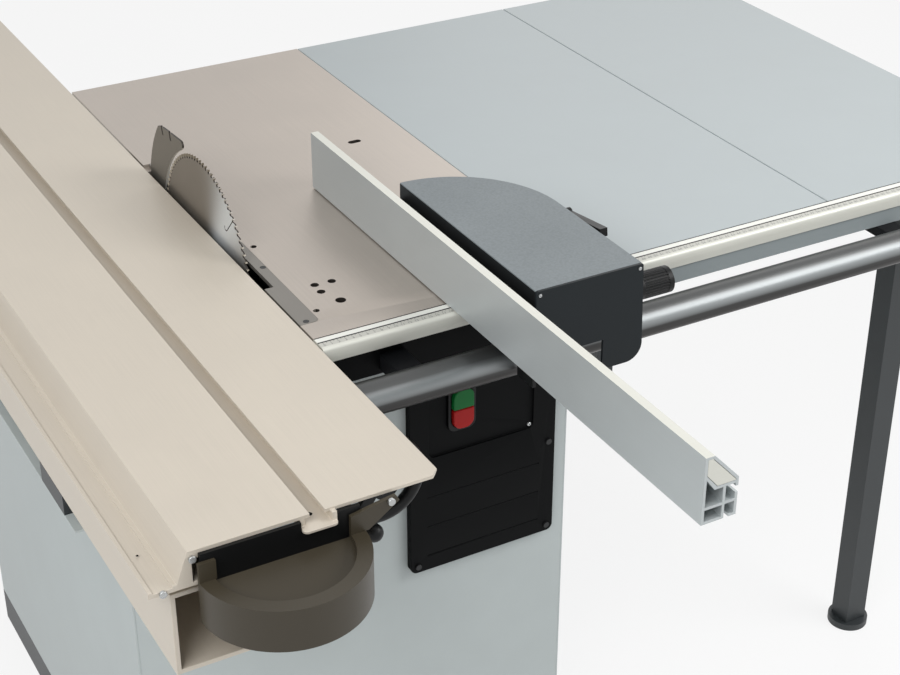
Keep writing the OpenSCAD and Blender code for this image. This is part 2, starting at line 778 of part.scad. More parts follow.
module outer_flange() at_top() color([0.55, 0.56, 0.57]) difference() {
    rod_x(flange_out_r, -half_t - flange_out_l, -half_t, 0, arbor_z);
    rod_x(nose_r + run, -half_t - flange_out_l - over, over, 0, arbor_z);
}
module arbor_nut() at_top() color([0.50, 0.51, 0.52]) difference() {
    translate([-half_t - flange_out_l - nut_l, 0, arbor_z]) rotate([0, 90, 0])
        cylinder(r = nut_r, h = nut_l, $fn = 6);
    rod_x(nose_r + run, -half_t - flange_out_l - nut_l - over, 0, 0, arbor_z);
}
module pulley(r, bore, z) {
    difference() {
        union() {
            rod_x(r, pulley_x, pulley_x + pulley_w, 0, z);
            for (x = [pulley_x, pulley_x + pulley_w - rim_lip])
                rod_x(r + rim_lip, x, x + rim_lip, 0, z);
        }
        rod_x(bore, pulley_x - over, pulley_x + pulley_w + over, 0, z);
    }
}
module arbor_pulley() at_top() color([0.40, 0.41, 0.42])
    pulley(arbor_pulley_r, arbor_d / 2 + run, arbor_z);
module motor_pulley() at_top() color([0.40, 0.41, 0.42]) {
    pulley(motor_pulley_r, shaft_r, motor_z);
    rod_x(shaft_r, pulley_x, motor_x + motor_l - fan_l - over, 0, motor_z);
}
belt_a = acos((motor_pulley_r - arbor_pulley_r) / (arbor_z - motor_z));
// Outline round both pulleys, each grown by the same amount, from short straight runs
belt_steps = 24;
quarter = 90;
function belt_arc(r, z, a0, a1) = [
    for (k = [0:belt_steps]) let (a = a0 + k * (a1 - a0) / belt_steps) [r * cos(a), z + r * sin(a)]];
module belt_outline(grow) {
    polygon(concat(belt_arc(arbor_pulley_r + grow, arbor_z, quarter - belt_a, quarter + belt_a),
        belt_arc(motor_pulley_r + grow, motor_z, quarter + belt_a, 5 * quarter - belt_a)));
}
module drive_belt() at_top() color([0.06, 0.06, 0.06])
    prism_x(pulley_x + rim_lip + gap, pulley_x + pulley_w - rim_lip - gap) difference() {
        belt_outline(2 * belt_gap + belt_t);
        belt_outline(2 * belt_gap);
    }

// Riving knife, its holder and the hood under the blade
knife_gap = 5.5;
knife_w = 58;
knife_in = blade_d / 2 + knife_gap;
knife_out = knife_in + knife_w;
knife_t = 2.8;
knife_clear = 4;
knife_back = trun_y - knife_clear;
knife_a0 = -20;
knife_a1 = 67;
knife_top = 100;
notch_w = 3;
notch_h = 12;
notch_shares = [0.52, 0.66];
holder_l = 29;
holder_in = 3;
holder_w = 48;
holder_y0 = knife_in + holder_in;
holder_y1 = holder_y0 + holder_w;
holder_high = -62;
holder_low = -118;
knife_arm_l = 26;
knife_arm_r = 50;
knife_arm_y0 = 50;
knife_arm_y1 = 96;
knife_arm_far = 196;
knife_arm_t = 14;
hood_gap = 14.5;
hood_r = blade_d / 2 + hood_gap;
hood_half = 20;
hood_t = 3;
hood_a0 = -158;
hood_a1 = -22;
hood_mouth = 45;
hood_arm_half = 26;
hood_arm_low = 7.5;
hood_arm_z = arbor_z - hood_r - hood_arm_low;
module riving_knife() at_top() color([0.45, 0.45, 0.44]) prism_x(-knife_t / 2, knife_t / 2)
    difference() {
    intersection() {
        translate([0, arbor_z]) sector(knife_in, knife_out, knife_a0, knife_a1);
        rect([0, -blade_d], [knife_back, knife_top]);
    }
    for (s = notch_shares) {
        y = s * knife_out;
        rect([y, knife_top - notch_h], [y + notch_w, knife_top + over]);
    }
}
module knife_holder() at_top() color([0.30, 0.32, 0.33]) {
    span([knife_t / 2, holder_y0, holder_low], [holder_l, holder_y1, holder_high]);
    span([knife_arm_l, knife_arm_y0, holder_low - knife_arm_t],
        [knife_arm_r, knife_arm_far, holder_low]);
    span([knife_arm_l, knife_arm_y0, web_high - knife_arm_t], [web_l, knife_arm_y1, holder_low]);
}
module dust_hood() at_top() color([0.16, 0.17, 0.18]) difference() {
    union() {
        prism_x(-hood_half, hood_half) translate([0, arbor_z]) sector(0, hood_r, hood_a0, hood_a1);
        span([hood_half - hood_t, -hood_arm_half, hood_arm_z], [web_l, hood_arm_half, hood_arm_z + arm_h]);
    }
    prism_x(hood_t - hood_half, hood_half - hood_t) translate([0, arbor_z]) circle(hood_r - hood_t);
    prism_x(-hood_half - over, hood_half + over) translate([0, arbor_z]) circle(hood_r / 2);
    span([hood_t - hood_half, -hood_mouth, arbor_z - hood_r - over],
        [hood_half - hood_t, hood_mouth, arbor_z]);
}

// Sliding table profile, drawn in X-Z
slot_x = -161;
slot_d = 18;
slot_floor = 6;
slot_under = 6;
edge_t = 4.5;
beam_right = 215;
beam_low = 46;
beam_wall = 5;
cove_x = 14;
cove_z = 38;
ledge_x = 358;
ledge_lip = 5;
slide_chamfer = 10;
channel_out = 12;
channel_round = 6;
slide_far = slide_l - slide_near;
slot_l0 = slot_x - tslot_w / 2;
slot_r0 = slot_x + tslot_w / 2;
channel_l = slot_l0 - slot_under - slot_floor;
channel_r = slot_r0 + slot_under + slot_floor;
module slide_outline() {
    difference() {
        union() {
            rect([-slide_left, -slide_t], [slot_l0, 0]);
            polygon([[slot_r0, 0], [-slide_right, 0], [-slide_right, -edge_t],
                     [-slide_right - slide_t + edge_t, -slide_t], [slot_r0, -slide_t]]);
            rect([channel_l, -slot_d - slot_floor], [channel_r, -slide_t]);
            polygon([[-slide_left, 0], [-slide_left - cove_x, -cove_z], [-ledge_x, -cove_z],
                [-ledge_x, -beam_low],
                     [-beam_right, -beam_low], [-beam_right, -slide_t], [-slide_left, -slide_t]]);
        }
        rect([slot_l0 - slot_under, -slot_d], [slot_r0 + slot_under, -slide_t]);
        rect([slot_l0, -slot_d], [slot_r0, over]);
        rect([-slide_left + beam_wall, -beam_low + beam_wall],
            [-beam_right - beam_wall, -slide_t - beam_wall / 2]);
        rect([-ledge_x + ledge_lip, -cove_z - ledge_lip / 2],
            [-slide_left - cove_x - ledge_lip, -cove_z + over]);
    }
}
module slide_table() at_top() color([0.82, 0.79, 0.73]) difference() {
    union() {
        prism_y(-slide_near, slide_far) slide_outline();
        prism_z(-slot_d - slot_floor, -slot_d)
            round_rect([channel_l, -slide_near - channel_out], [channel_r, -slide_near + channel_out],
                channel_round);
        span([slot_r0 + slot_under, -slide_near - channel_out / 2, -slot_d],
            [channel_r, -slide_near, -slide_t / 2]);
    }
    prism_z(-slide_t - over, over) polygon([[-slide_right + over, -slide_near - over],
        [-slide_right + over, -slide_near + slide_chamfer + over],
            [-slide_right - slide_chamfer - over, -slide_near - over]]);
}
end_cover_l = 300;
end_cover_r = 112;
end_cover_high = 12;
end_cover_low = 95;
end_cover_t = 5;
module slide_end_cover() at_top() color([0.06, 0.06, 0.07])
    prism_y(-slide_near - end_cover_t, -slide_near)
    polygon([[-end_cover_l, -end_cover_high], [channel_l - gap, -end_cover_high],
        [channel_l - gap, -slot_d - slot_floor - gap], [-end_cover_r, -slot_d - slot_floor - gap],
        [-end_cover_r, -end_cover_low], [-end_cover_l, -end_cover_low]]);
// Push handle: half a ring that lies flat, closed below by a floor that falls away from the table
bow_x = -206;
bow_t = 18;
bow_top = 38;
bow_low = 92;
scoop_back = 43;
scoop_front = 74;
lug_t = 5;
lug_w_left = 20;
lug_high = 14;
lug_points = [[-126, -14], [-84, -6], [-70, -4], [-66, -11], [-104, -bow_top], [-126, -bow_top]];
module push_handle() at_top() color([0.10, 0.10, 0.09]) {
    y1 = -slide_near - end_cover_t;
    difference() {
        prism_z(-bow_low, -bow_top) translate([bow_x, y1]) intersection() {
            circle(bow_r);
            rect([-bow_r, -bow_r], [bow_r, 0]);
        }
        intersection() {
            prism_z(-bow_low, over - bow_top) translate([bow_x, y1]) circle(bow_r - bow_t);
            prism_x(bow_x - bow_r, bow_x + bow_r)
                polygon([[y1 + over, -scoop_back], [y1 - bow_r, -scoop_front], [y1 - bow_r, 0],
                    [y1 + over, 0]]);
        }
    }
    prism_y(y1 - lug_t, y1) {
        polygon(lug_points);
        rect([bow_x - bow_r, -bow_top], [bow_x - bow_r + lug_w_left, -lug_high]);
    }
}
slide_screw_r = 4.5;
slide_screw_h = 4;
// Screws in the plate's corner and in the ledge, then the one through the handle's lug
slide_screw_places = [[-307, -10], [-342, -43]];
lug_screw = [-77, -9];
module slide_screws() at_top() color([0.85, 0.85, 0.86]) {
    for (p = slide_screw_places)
        rod_y(slide_screw_r, -slide_near - slide_screw_h, -slide_near, p[0], p[1]);
    y1 = -slide_near - end_cover_t - lug_t;
    rod_y(slide_screw_r, y1 - slide_screw_h, y1, lug_screw[0], lug_screw[1]);
}
// Fixed rail of the sliding table, roller cage and rail brackets
rail_l = 330;
rail_r = 215;
rail_top = 60;
rail_low = 170;
rail_wall = 6;
rail_near = 690;
rail_len = 1880;
cage_l = 736;
cage_mid = 328;
roller_r = 6.7;
cage_t = 5;
cage_pitch = 60;
cage_side = 8;
module slide_rail() at_top() color([0.74, 0.74, 0.72]) difference() {
    span([-rail_l, -rail_near, -rail_low], [-rail_r, rail_len - rail_near, -rail_top]);
    span([rail_wall - rail_l, -rail_near - over, rail_wall - rail_low],
         [-rail_r - rail_wall, rail_len - rail_near + over, -rail_top - rail_wall]);
}
bracket_l = 90;
bracket_ys = [-300, 60, 320];
module rail_brackets() at_top() color([0.20, 0.22, 0.23])
    for (y = bracket_ys) span([-rail_l, y, -left_top], [-cab_left, y + bracket_l, -rail_low]);
module roller_cage() at_top() color([0.35, 0.36, 0.37]) {
    mid = (rail_top + beam_low) / 2;
    span([cage_side - rail_l, cage_mid - cage_l / 2, -mid - cage_t / 2],
        [-rail_r - cage_side, cage_mid + cage_l / 2, cage_t / 2 - mid]);
    for (y = [cage_mid - cage_l / 2 + cage_pitch / 2:cage_pitch:cage_mid + cage_l / 2])
        rod_x(roller_r, 2 * cage_side - rail_l, -rail_r - 2 * cage_side, y, -mid);
}

// Rip fence profile in X-Z, from its lower left corner
fence_foot = 2;
land_w = 10;
slope_z = 47;
floor_web = 20;
mid_web = 28;
shelf_z = 45;
tee_low = 29.5;
tee_high = 37.5;
foot_slot0 = 29.5;
foot_slot1 = 36;
brace_z = 62;
brace_share = 1.5;
module upper_chamber(shrink) {
    w = fence_wall + shrink;
    polygon([[w, brace_z + shrink], [w, fence_h - w], [land_w - shrink, fence_h - w],
        [fence_w - w, slope_z - shrink],
             [fence_w - w, shelf_z + shrink], [mid_web - land_w + shrink, shelf_z + shrink]]);
}
module fence_outline() {
    w = fence_wall;
    difference() {
        polygon([[0, 0], [fence_w, 0], [fence_w, slope_z + w / 2], [land_w + w / 2, fence_h],
            [0, fence_h]]);
        upper_chamber(0);
        rect([w, w], [mid_web - w / 2, floor_web - w / 2]);
        rect([mid_web + w / 2, w], [fence_w - w, floor_web - w / 2]);
        rect([foot_slot0, -over], [foot_slot1, floor_web / 2]);
        rect([mid_web + w / 2, floor_web + w / 2], [fence_w - w, shelf_z - w]);
        rect([fence_w - 2 * w, tee_low], [fence_w + over, tee_high]);
        polygon([[w, floor_web + w / 2], [mid_web - w / 2, floor_web + w / 2],
            [mid_web - w / 2, shelf_z - w],
                 [mid_web - land_w - w, shelf_z - w], [w, brace_z - brace_share * w]]);
    }
}
module at_fence() at_top() translate([fence_x, 0, fence_foot]) children();
module fence_profile() color([0.66, 0.68, 0.68]) at_fence()
    prism_y(-fence_near, fence_l - fence_near) fence_outline();
plug_l = 14;
module fence_end_plug() color([0.78, 0.78, 0.76]) at_fence() prism_y(-fence_near, plug_l - fence_near)
    upper_chamber(gap);

// Fence carrier: hood over the guide bar, with a quarter-round far end
carrier_x = fence_x + fence_w;
carrier_near = -512;
carrier_turn = -312;
carrier_wall = 5;
carrier_foot = 3;
carrier_low = -64;
carrier_skirt = -418;
carrier_roof = 7;
arch_r = 30;
pad_l = 40;
pad_y = -246;
end_t = 4;
end_round = 24;
end_notch_w = 56;
end_notch_z = -20;
end_screw_r = 2;
end_screw_in = 5;
module carrier_plan(grow) {
    r = carrier_w - grow;
    rect([carrier_x + grow, carrier_near], [carrier_x + carrier_w - grow, carrier_turn]);
    translate([carrier_x, carrier_turn]) intersection() {
        circle(r);
        rect([grow, 0], [r, r]);
    }
}
module fence_carrier() at_top() color([0.42, 0.45, 0.46]) difference() {
    union() {
        prism_z(carrier_foot, carrier_h) carrier_plan(0);
        span([carrier_x, carrier_near, carrier_low],
            [carrier_x + carrier_w, carrier_skirt, carrier_foot]);
        span([carrier_x + carrier_w / 2, pad_y, 0],
            [carrier_x + carrier_w / 2 + pad_l, pad_y + pad_l / 2, carrier_h / 2]);
    }
    difference() {
        prism_z(carrier_low - over, carrier_h - carrier_roof) carrier_plan(carrier_wall);
        span([carrier_x + carrier_w / 2, pad_y, -over],
            [carrier_x + carrier_w / 2 + pad_l, pad_y + pad_l / 2, carrier_h]);
    }
    rod_x(arch_r, carrier_x - over, carrier_x + carrier_w + over, bar_y, bar_z);
    span([carrier_x - over, bar_y - arch_r, carrier_low - over],
        [carrier_x + carrier_w + over, carrier_skirt + over, bar_z]);
    for (y = tbolt_ys) rod_x(tbolt_r + gap, carrier_x - over, carrier_x + tbolt_l + over, y, tbolt_z);
    rod_x(lever_pin_r + run, carrier_x + carrier_w - 2 * carrier_wall, carrier_x + carrier_w + over,
        lever_y, lever_z);
    rod_x(knob_pin_r + run, carrier_x + carrier_w - 2 * carrier_wall, carrier_x + carrier_w + over,
        knob_y, knob_z);
}
module carrier_end_plate() at_top() color([0.13, 0.15, 0.16]) {
    prism_y(carrier_near - end_t, carrier_near) difference() {
        rect([carrier_x, carrier_low], [carrier_x + carrier_w, carrier_h]);
        translate([carrier_x + carrier_w - end_round, carrier_low]) difference() {
            rect([0, -over], [end_round + over, end_round]);
            translate([0, end_round]) circle(end_round);
        }
        rect([carrier_x - over, carrier_low - over],
            [carrier_x + carrier_w - end_notch_w, end_notch_z]);
    }
    for (x = [carrier_x + end_screw_in, carrier_x + carrier_w - end_screw_in])
        rod_y(end_screw_r, carrier_near - end_t - end_screw_r / 2, carrier_near - end_t, x,
            carrier_h - end_screw_in);
}
bush_in = 16;
bush_near = -478;
bush_far = -414;
bush_grip = 19;
module bar_bush() at_top() color([0.20, 0.21, 0.22]) difference() {
    span([carrier_x + bush_in, bush_near, bar_z + bush_grip],
        [carrier_x + carrier_w - bush_in, bush_far, carrier_h - carrier_roof]);
    rod_x(bar_d / 2 + gap, carrier_x, carrier_x + carrier_w, bar_y, bar_z);
}
tbolt_r = 3.4;
tbolt_l = 22;
tbolt_ys = [-400, -340];
tbolt_z = fence_foot + (tee_low + tee_high) / 2;
tbolt_head = 5;
tbolt_head_w = 9;
tbolt_head_h = 5.5;
module fence_tbolts() at_top() color([0.55, 0.56, 0.57]) for (y = tbolt_ys) {
    x0 = carrier_x - fence_wall - gap;
    rod_x(tbolt_r, x0 - tbolt_head, carrier_x + tbolt_l, y, tbolt_z);
    span([x0 - tbolt_head, y - tbolt_head_w, tbolt_z - tbolt_head_h],
        [x0, y + tbolt_head_w, tbolt_z + tbolt_head_h]);
    rod_x(tbolt_head_w, carrier_x + carrier_wall, carrier_x + carrier_wall + tbolt_head, y, tbolt_z);
}
lever_y = -322;
lever_z = 62;
lever_pin_r = 6;
lever_hub_r = 7;
lever_t = 12;
lever_off = 2;
lever_l = 91;
lever_w = 12;
lever_a = 186.3;
module clamp_lever() at_top() color([0.07, 0.07, 0.08]) {
    x = carrier_x + carrier_w;
    rod_x(lever_pin_r, x - carrier_wall, x + lever_off, lever_y, lever_z);
    rod_x(lever_hub_r, x + lever_off, x + lever_off + lever_t, lever_y, lever_z);
    prism_x(x + lever_off, x + lever_off + lever_t) translate([lever_y, lever_z]) mirror([0, 1])
        rotate(lever_a)
        polygon([[0, -lever_hub_r / 2], [lever_l, -lever_w / 2], [lever_l, lever_w / 2],
            [0, lever_hub_r / 2]]);
}
knob_y = -488;
knob_z = 26;
knob_pin_r = 7;
knob_off = 7;
knob_l = 52;
knurls = 30;
knurl_r = 1.2;
module fine_knob() at_top() color([0.07, 0.07, 0.08]) {
    x = carrier_x + carrier_w;
    rod_x(knob_pin_r, x - carrier_wall, x + knob_off, knob_y, knob_z);
    difference() {
        rod_x(knob_d / 2, x + knob_off, x + knob_off + knob_l, knob_y, knob_z);
        for (k = [0:knurls - 1]) translate([0, knob_y, knob_z]) rotate([k * 360 / knurls, 0, 0])
            rod_x(knurl_r, x + 2 * knob_off, x + knob_l, knob_d / 2, 0);
    }
}

base_frame();
cabinet_front();
cabinet_back();
cabinet_left();
cabinet_right();
front_cover();
panel_screws();
switch_bezel();
main_table();
table_insert();
extension_table_inner();
extension_table_outer();
extension_legs();
front_rail();
rail_apron();
guide_bar();
bar_brackets();
slide_rail();
rail_brackets();
trunnion_brackets();
dust_port();
tilt_frame();
trunnion_keys();
guide_columns();
tilt_sector();
saw_saddle();
motor();
dust_hood();
riving_knife();
knife_holder();
arbor_bearings();
drive_belt();
arbor_shaft();
saw_blade();
outer_flange();
arbor_nut();
arbor_pulley();
motor_pulley();
lift_handwheel();
lift_shaft();
lift_knob();
lift_screw();
tilt_handwheel();
tilt_worm_shaft();
tilt_knob();
slide_table();
slide_end_cover();
push_handle();
slide_screws();
roller_cage();
fence_carrier();
carrier_end_plate();
bar_bush();
fence_tbolts();
fence_profile();
fence_end_plug();
clamp_lever();
fine_knob();
start_button();
stop_button();
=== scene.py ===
# %% [markdown]
# A sliding table saw, dressed for its picture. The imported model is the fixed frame: it gives the
# size and place of every piece. Each step below takes one group of pieces, says what it is on the
# real machine, and makes its surface. Lengths are written in millimetres from three planes that a
# maker would use too: the blade's plane, the arbor's line and the table top.

# %% Load the frame
import json
import math

import bmesh
import bpy
from mathutils import Matrix, Vector


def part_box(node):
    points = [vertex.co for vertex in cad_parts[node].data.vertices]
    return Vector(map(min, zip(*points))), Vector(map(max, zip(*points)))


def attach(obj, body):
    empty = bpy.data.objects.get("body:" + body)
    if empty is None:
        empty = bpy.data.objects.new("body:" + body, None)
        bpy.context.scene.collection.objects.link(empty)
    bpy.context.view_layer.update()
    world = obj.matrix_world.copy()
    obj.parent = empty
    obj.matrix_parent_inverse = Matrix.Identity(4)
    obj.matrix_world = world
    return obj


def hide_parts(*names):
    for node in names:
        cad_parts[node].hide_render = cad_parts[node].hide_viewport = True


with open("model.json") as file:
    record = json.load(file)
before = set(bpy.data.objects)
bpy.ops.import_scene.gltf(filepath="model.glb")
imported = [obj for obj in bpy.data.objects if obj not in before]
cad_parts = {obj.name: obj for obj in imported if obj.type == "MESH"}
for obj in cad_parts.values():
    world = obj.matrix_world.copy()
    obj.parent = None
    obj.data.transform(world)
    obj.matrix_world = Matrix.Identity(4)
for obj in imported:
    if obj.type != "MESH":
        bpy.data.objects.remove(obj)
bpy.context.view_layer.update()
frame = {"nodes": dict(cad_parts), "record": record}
nodes = frame["nodes"]
record = frame["record"]
body_of = {node: body for body, members in record["behaviour"]["bodies"].items() for node in members}

# %% [markdown]
# The picture was taken from the operator's left, about thirty degrees above the table, with a long
# lens. A camera can be aimed with a constraint, but three written directions are exact and need no
# helper object, so the camera's matrix is built from them.

# %% Places and camera
MM = 0.001
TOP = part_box("main_table")[1].z


def at(x, y, z):
    """A point in metres from millimetres right of the blade, behind the arbor and above the table."""
    return Vector((x * MM, y * MM, TOP + z * MM))


EYE, AHEAD = (-812.4, -2172.9, 1141), (0.4202, 0.7571, -0.5002)
LENS, SENSOR = 72.54, 36
ahead = Vector(AHEAD).normalized()
rightward = ahead.cross(Vector((0, 0, 1))).normalized()
upward = rightward.cross(ahead)
lens = bpy.data.cameras.new("photo_camera")
lens.sensor_width, lens.lens = SENSOR, LENS
camera = bpy.data.objects.new("photo_camera", lens)
camera.matrix_world = Matrix.Translation(at(*EYE)) @ Matrix(
    (rightward, upward, -ahead)).transposed().to_4x4()
bpy.context.scene.collection.objects.link(camera)
bpy.context.scene.camera = camera
bpy.context.scene.view_settings.view_transform = "Standard"
print("camera at", [round(c, 3) for c in camera.location])

# %% [markdown]
# Shader maths is easier to read as sums than as a list of nodes and links. The class below wraps
# one output socket. Adding, subtracting or multiplying two of them adds a Math node, and one method
# makes every other node: its type, then its settings, then its sockets.

# %% Sockets that can be added and multiplied
class Wire:
    """One output socket of a material's nodes."""

    def __init__(self, tree, socket=None):
        self.tree, self.socket = tree, socket

    def join(self, value, socket):
        if isinstance(value, Wire):
            self.tree.links.new(value.socket, socket)
        else:
            socket.default_value = value

    def node(self, kind, settings=(), inputs=(), out=0):
        made = self.tree.nodes.new(kind)
        for key, value in dict(settings).items():
            setattr(made, key, value)
        for key, value in dict(inputs).items():
            self.join(value, made.inputs[key])
        return Wire(self.tree, made.outputs[out])

    def sums(self, operation, a, b):
        return self.node("ShaderNodeMath", {"operation": operation}, {0: a, 1: b})

    def __add__(self, other):
        return self.sums("ADD", self, other)

    __radd__ = __add__

    def __sub__(self, other):
        return self.sums("SUBTRACT", self, other)

    def __rsub__(self, other):
        return self.sums("SUBTRACT", other, self)

    def __mul__(self, other):
        return self.sums("MULTIPLY", self, other)

    __rmul__ = __mul__

    def __truediv__(self, other):
        return self.sums("DIVIDE", self, other)

    def __pow__(self, other):
        return self.sums("POWER", self, other)

    def tint(self, low, high):
        """The colour between two, by this value."""
        return self.node("ShaderNodeMix", {"data_type": "RGBA"}, {0: self, 6: low, 7: high}, out=2)

    def stretched(self, x, y, z):
        return self.node("ShaderNodeVectorMath", {"operation": "MULTIPLY"}, {0: self, 1: (x, y, z)})

    def noise(self, scale, detail=3.0, rough=0.55):
        return self.node("ShaderNodeTexNoise", {}, {"Vector": self, "Scale": scale, "Detail": detail,
                                                    "Roughness": rough}, out="Fac")

    def cells(self, scale):
        return self.node("ShaderNodeTexVoronoi", {"feature": "SMOOTH_F1"}, {"Vector": self, "Scale": scale},
                         out="Distance")

    def bump(self, strength, depth):
        return self.node("ShaderNodeBump", {}, {"Strength": strength, "Distance": depth, "Height": self})


def rgb(red, green, blue, times=1.0):
    """A colour as picture values from 0 to 255, turned into the linear light that shaders use."""
    shares = [c / 255 for c in (red, green, blue)]
    linear = [((c + 0.055) / 1.055) ** 2.4 if c > 10 / 255 else c / 12.92 for c in shares]
    return (*[min(1.0, c * times) for c in linear], 1.0)


def new_finish(name, metallic=0.0, specular=0.5):
    """A material, its shader and a wire with the place on the piece in metres."""
    material = bpy.data.materials.new(name)
    material.use_nodes = True
    shader = material.node_tree.nodes["Principled BSDF"]
    shader.inputs["Metallic"].default_value = metallic
    shader.inputs["Specular IOR Level"].default_value = specular
    place = Wire(material.node_tree).node("ShaderNodeTexCoord", out="Object")
    return material, shader, place


def dress(shader, wire, colour, rough, normal):
    for key, value in (("Base Color", colour), ("Roughness", rough), ("Normal", normal)):
        wire.join(value, shader.inputs[key])


print("shader sums ready")

# %% [markdown]
# Machined and drawn metal shows fine lines along the way the tool went. Noise squeezed along two
# axes and stretched along the third gives such lines without any picture, and they stay on the
# piece from every side. The same lines steer colour, gloss and a shallow bump.

# %% Metal with drawn or ground lines
SQUEEZE = 0.012
TOOL_MARK = 0.00002


def lined_metal(name, colour, along, metallic, rough, spread=0.10, fine=900.0, strength=0.35):
    """Metal with lines along one axis, faint cloudy stains and uneven gloss."""
    material, shader, place = new_finish(name, metallic)
    squeeze = [SQUEEZE if axis == along else 1 for axis in "xyz"]
    lines = place.stretched(*squeeze).noise(fine, 2.0)
    stains = place.noise(7.0, 5.0, 0.6)
    shade = lines * 0.5 + stains * 0.5
    low, high = rgb(*colour, 1 - spread), rgb(*colour, 1 + spread)
    dress(shader, place, ((shade - 0.5) * 1.6 + 0.5).tint(low, high),
          rough + (stains - 0.5) * 0.16 + (lines - 0.5) * 0.10, lines.bump(strength, TOOL_MARK))
    return material


iron = lined_metal("ground_cast_iron", (181, 172, 163), "y", 0.58, 0.38, 0.10, 500, 0.25)
anodised = lined_metal("anodised_beige", (207, 198, 184), "y", 0.15, 0.42, 0.06, 700, 0.2)
fence_metal = lined_metal("drawn_aluminium", (191, 197, 198), "y", 0.40, 0.40, 0.05, 1500, 0.06)
rail_metal = lined_metal("drawn_rail_aluminium", (218, 218, 209), "x", 0.10, 0.36, 0.06, 900, 0.15)
knife_metal = lined_metal("rolled_knife_steel", (112, 108, 101), "z", 0.6, 0.40, 0.16, 700)
insert_metal = lined_metal("ground_insert_steel", (128, 124, 118), "y", 0.5, 0.38, 0.10, 600)
# Pale steel for the riving knife's inner edge: a painted highlight.
lit_edge_metal = lined_metal("bright_sheared_edge", (206, 204, 196), "z", 0.5, 0.34, 0.08, 900)
turned_metal = lined_metal("turned_steel", (166, 168, 170), "x", 0.85, 0.30, 0.10, 700)
column_metal = lined_metal("polished_column_steel", (196, 198, 200), "z", 0.95, 0.18, 0.06, 700)
zinc = lined_metal("zinc_plated_screw", (182, 184, 184), "y", 0.85, 0.28, 0.10, 900)
dark_screw = lined_metal("blackened_screw", (34, 35, 36), "y", 0.3, 0.40, 0.12, 900)
bored_iron = lined_metal("bored_cast_iron", (52, 48, 44), "z", 0.3, 0.5, 0.14, 500)
gear_metal = lined_metal("cut_gear_bronze", (150, 138, 112), "y", 0.8, 0.36, 0.12, 600)


# The guide bar's colour carries painted light: painted shade darkens its under side, and a pale painted
# highlight runs along it above the middle.
def bar_chrome_painted_light(name, lower, upper, highlight_colour, middle, half):
    """Satin plate on a round bar: soft streaks along it, a pale painted highlight above the middle and a
    darker, browner under side that is painted shade.
    """
    material, shader, place = new_finish(name, 0.80)
    streaks = place.stretched(0.02, 1, 1).noise(260.0, 2.0)
    height = place.node("ShaderNodeSeparateXYZ", {}, {"Vector": place}, out="Z")
    share = place.node("ShaderNodeMapRange", {}, {0: height + (streaks - 0.5) * 0.006,
                                                  1: middle - half, 2: middle + half})
    # Painted highlight: a pale strip along the bar just above its middle.
    painted_glint = 1 - ((height - middle - half) / (0.9 * half)) ** 2.0
    painted_glint = painted_glint.sums("MAXIMUM", painted_glint, 0.0)
    dress(shader, place, painted_glint.tint(share.tint(rgb(*lower), rgb(*upper)), rgb(*highlight_colour)),
          0.36 + (streaks - 0.5) * 0.10, streaks.bump(0.05, TOOL_MARK))
    return material


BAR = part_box("guide_bar")
BAR_Z, BAR_R = (BAR[0].z + BAR[1].z) / 2, (BAR[1].z - BAR[0].z) / 2
chrome = bar_chrome_painted_light("satin_chrome_plate", (28, 24, 22), (92, 93, 93), (139, 143, 144),
                       BAR_Z - 0.05 * BAR_R, 0.45 * BAR_R)
print("lined metals made")

# %% [markdown]
# A circular saw blade is ground while it spins, so its lines run round the arbor. The angle about
# the arbor is left out of the noise and only the radius is kept, so the lines become rings. Such rings
# throw light back in two opposite fans, which are mixed into the colour by the angle.

# %% Blade steel
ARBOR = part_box("arbor_shaft")
ARBOR_Z = (ARBOR[0].z + ARBOR[1].z) / 2
FAN = math.radians(131)


def ringed_steel(name, colour, fan_colour, rough):
    """Steel ground in rings about the arbor, with two pale fans of light."""
    material, shader, place = new_finish(name, 0.5)
    parts = place.node("ShaderNodeSeparateXYZ", {}, {"Vector": place}).socket.node.outputs
    y, z = Wire(place.tree, parts["Y"]), Wire(place.tree, parts["Z"]) - ARBOR_Z
    radius = (y * y + z * z) ** 0.5
    rings = place.node("ShaderNodeCombineXYZ", {}, {"X": radius}).noise(1600.0, 3.0)
    cloud = place.noise(16.0, 4.0)
    shade = rings * 0.6 + cloud * 0.4
    facing = (y * math.cos(FAN) + z * math.sin(FAN)) / (radius + 0.001)
    fan = (facing * facing) ** 7.0 * (0.6 + rings * 0.7)
    plain = ((shade - 0.5) * 1.8 + 0.5).tint(rgb(*colour, 0.84), rgb(*colour, 1.14))
    dress(shader, place, fan.tint(plain, rgb(*fan_colour)), rough + (rings - 0.5) * 0.22,
          rings.bump(0.30, TOOL_MARK))
    return material


blade_metal = ringed_steel("ground_blade_steel", (121, 114, 105), (232, 238, 242), 0.36)
# Dark steel for the edge faces of the blade and the riving knife: painted shade.
shaded_edge_metal = lined_metal("scorched_gullet", (50, 45, 40), "x", 0.4, 0.5, 0.15, 900)
carbide = ringed_steel("brazed_carbide", (142, 133, 117), (196, 192, 184), 0.34)
print("blade steel made, arbor at", round(ARBOR_Z, 4))

# %% [markdown]
# Paint and plastic differ mostly in what lies on top: powder paint has a faint orange peel, hammer
# paint has round dents with darker rims, and moulded plastic has a fine leather grain. One noise for
# the cloudy tone and one for the skin are enough when their scales are right.

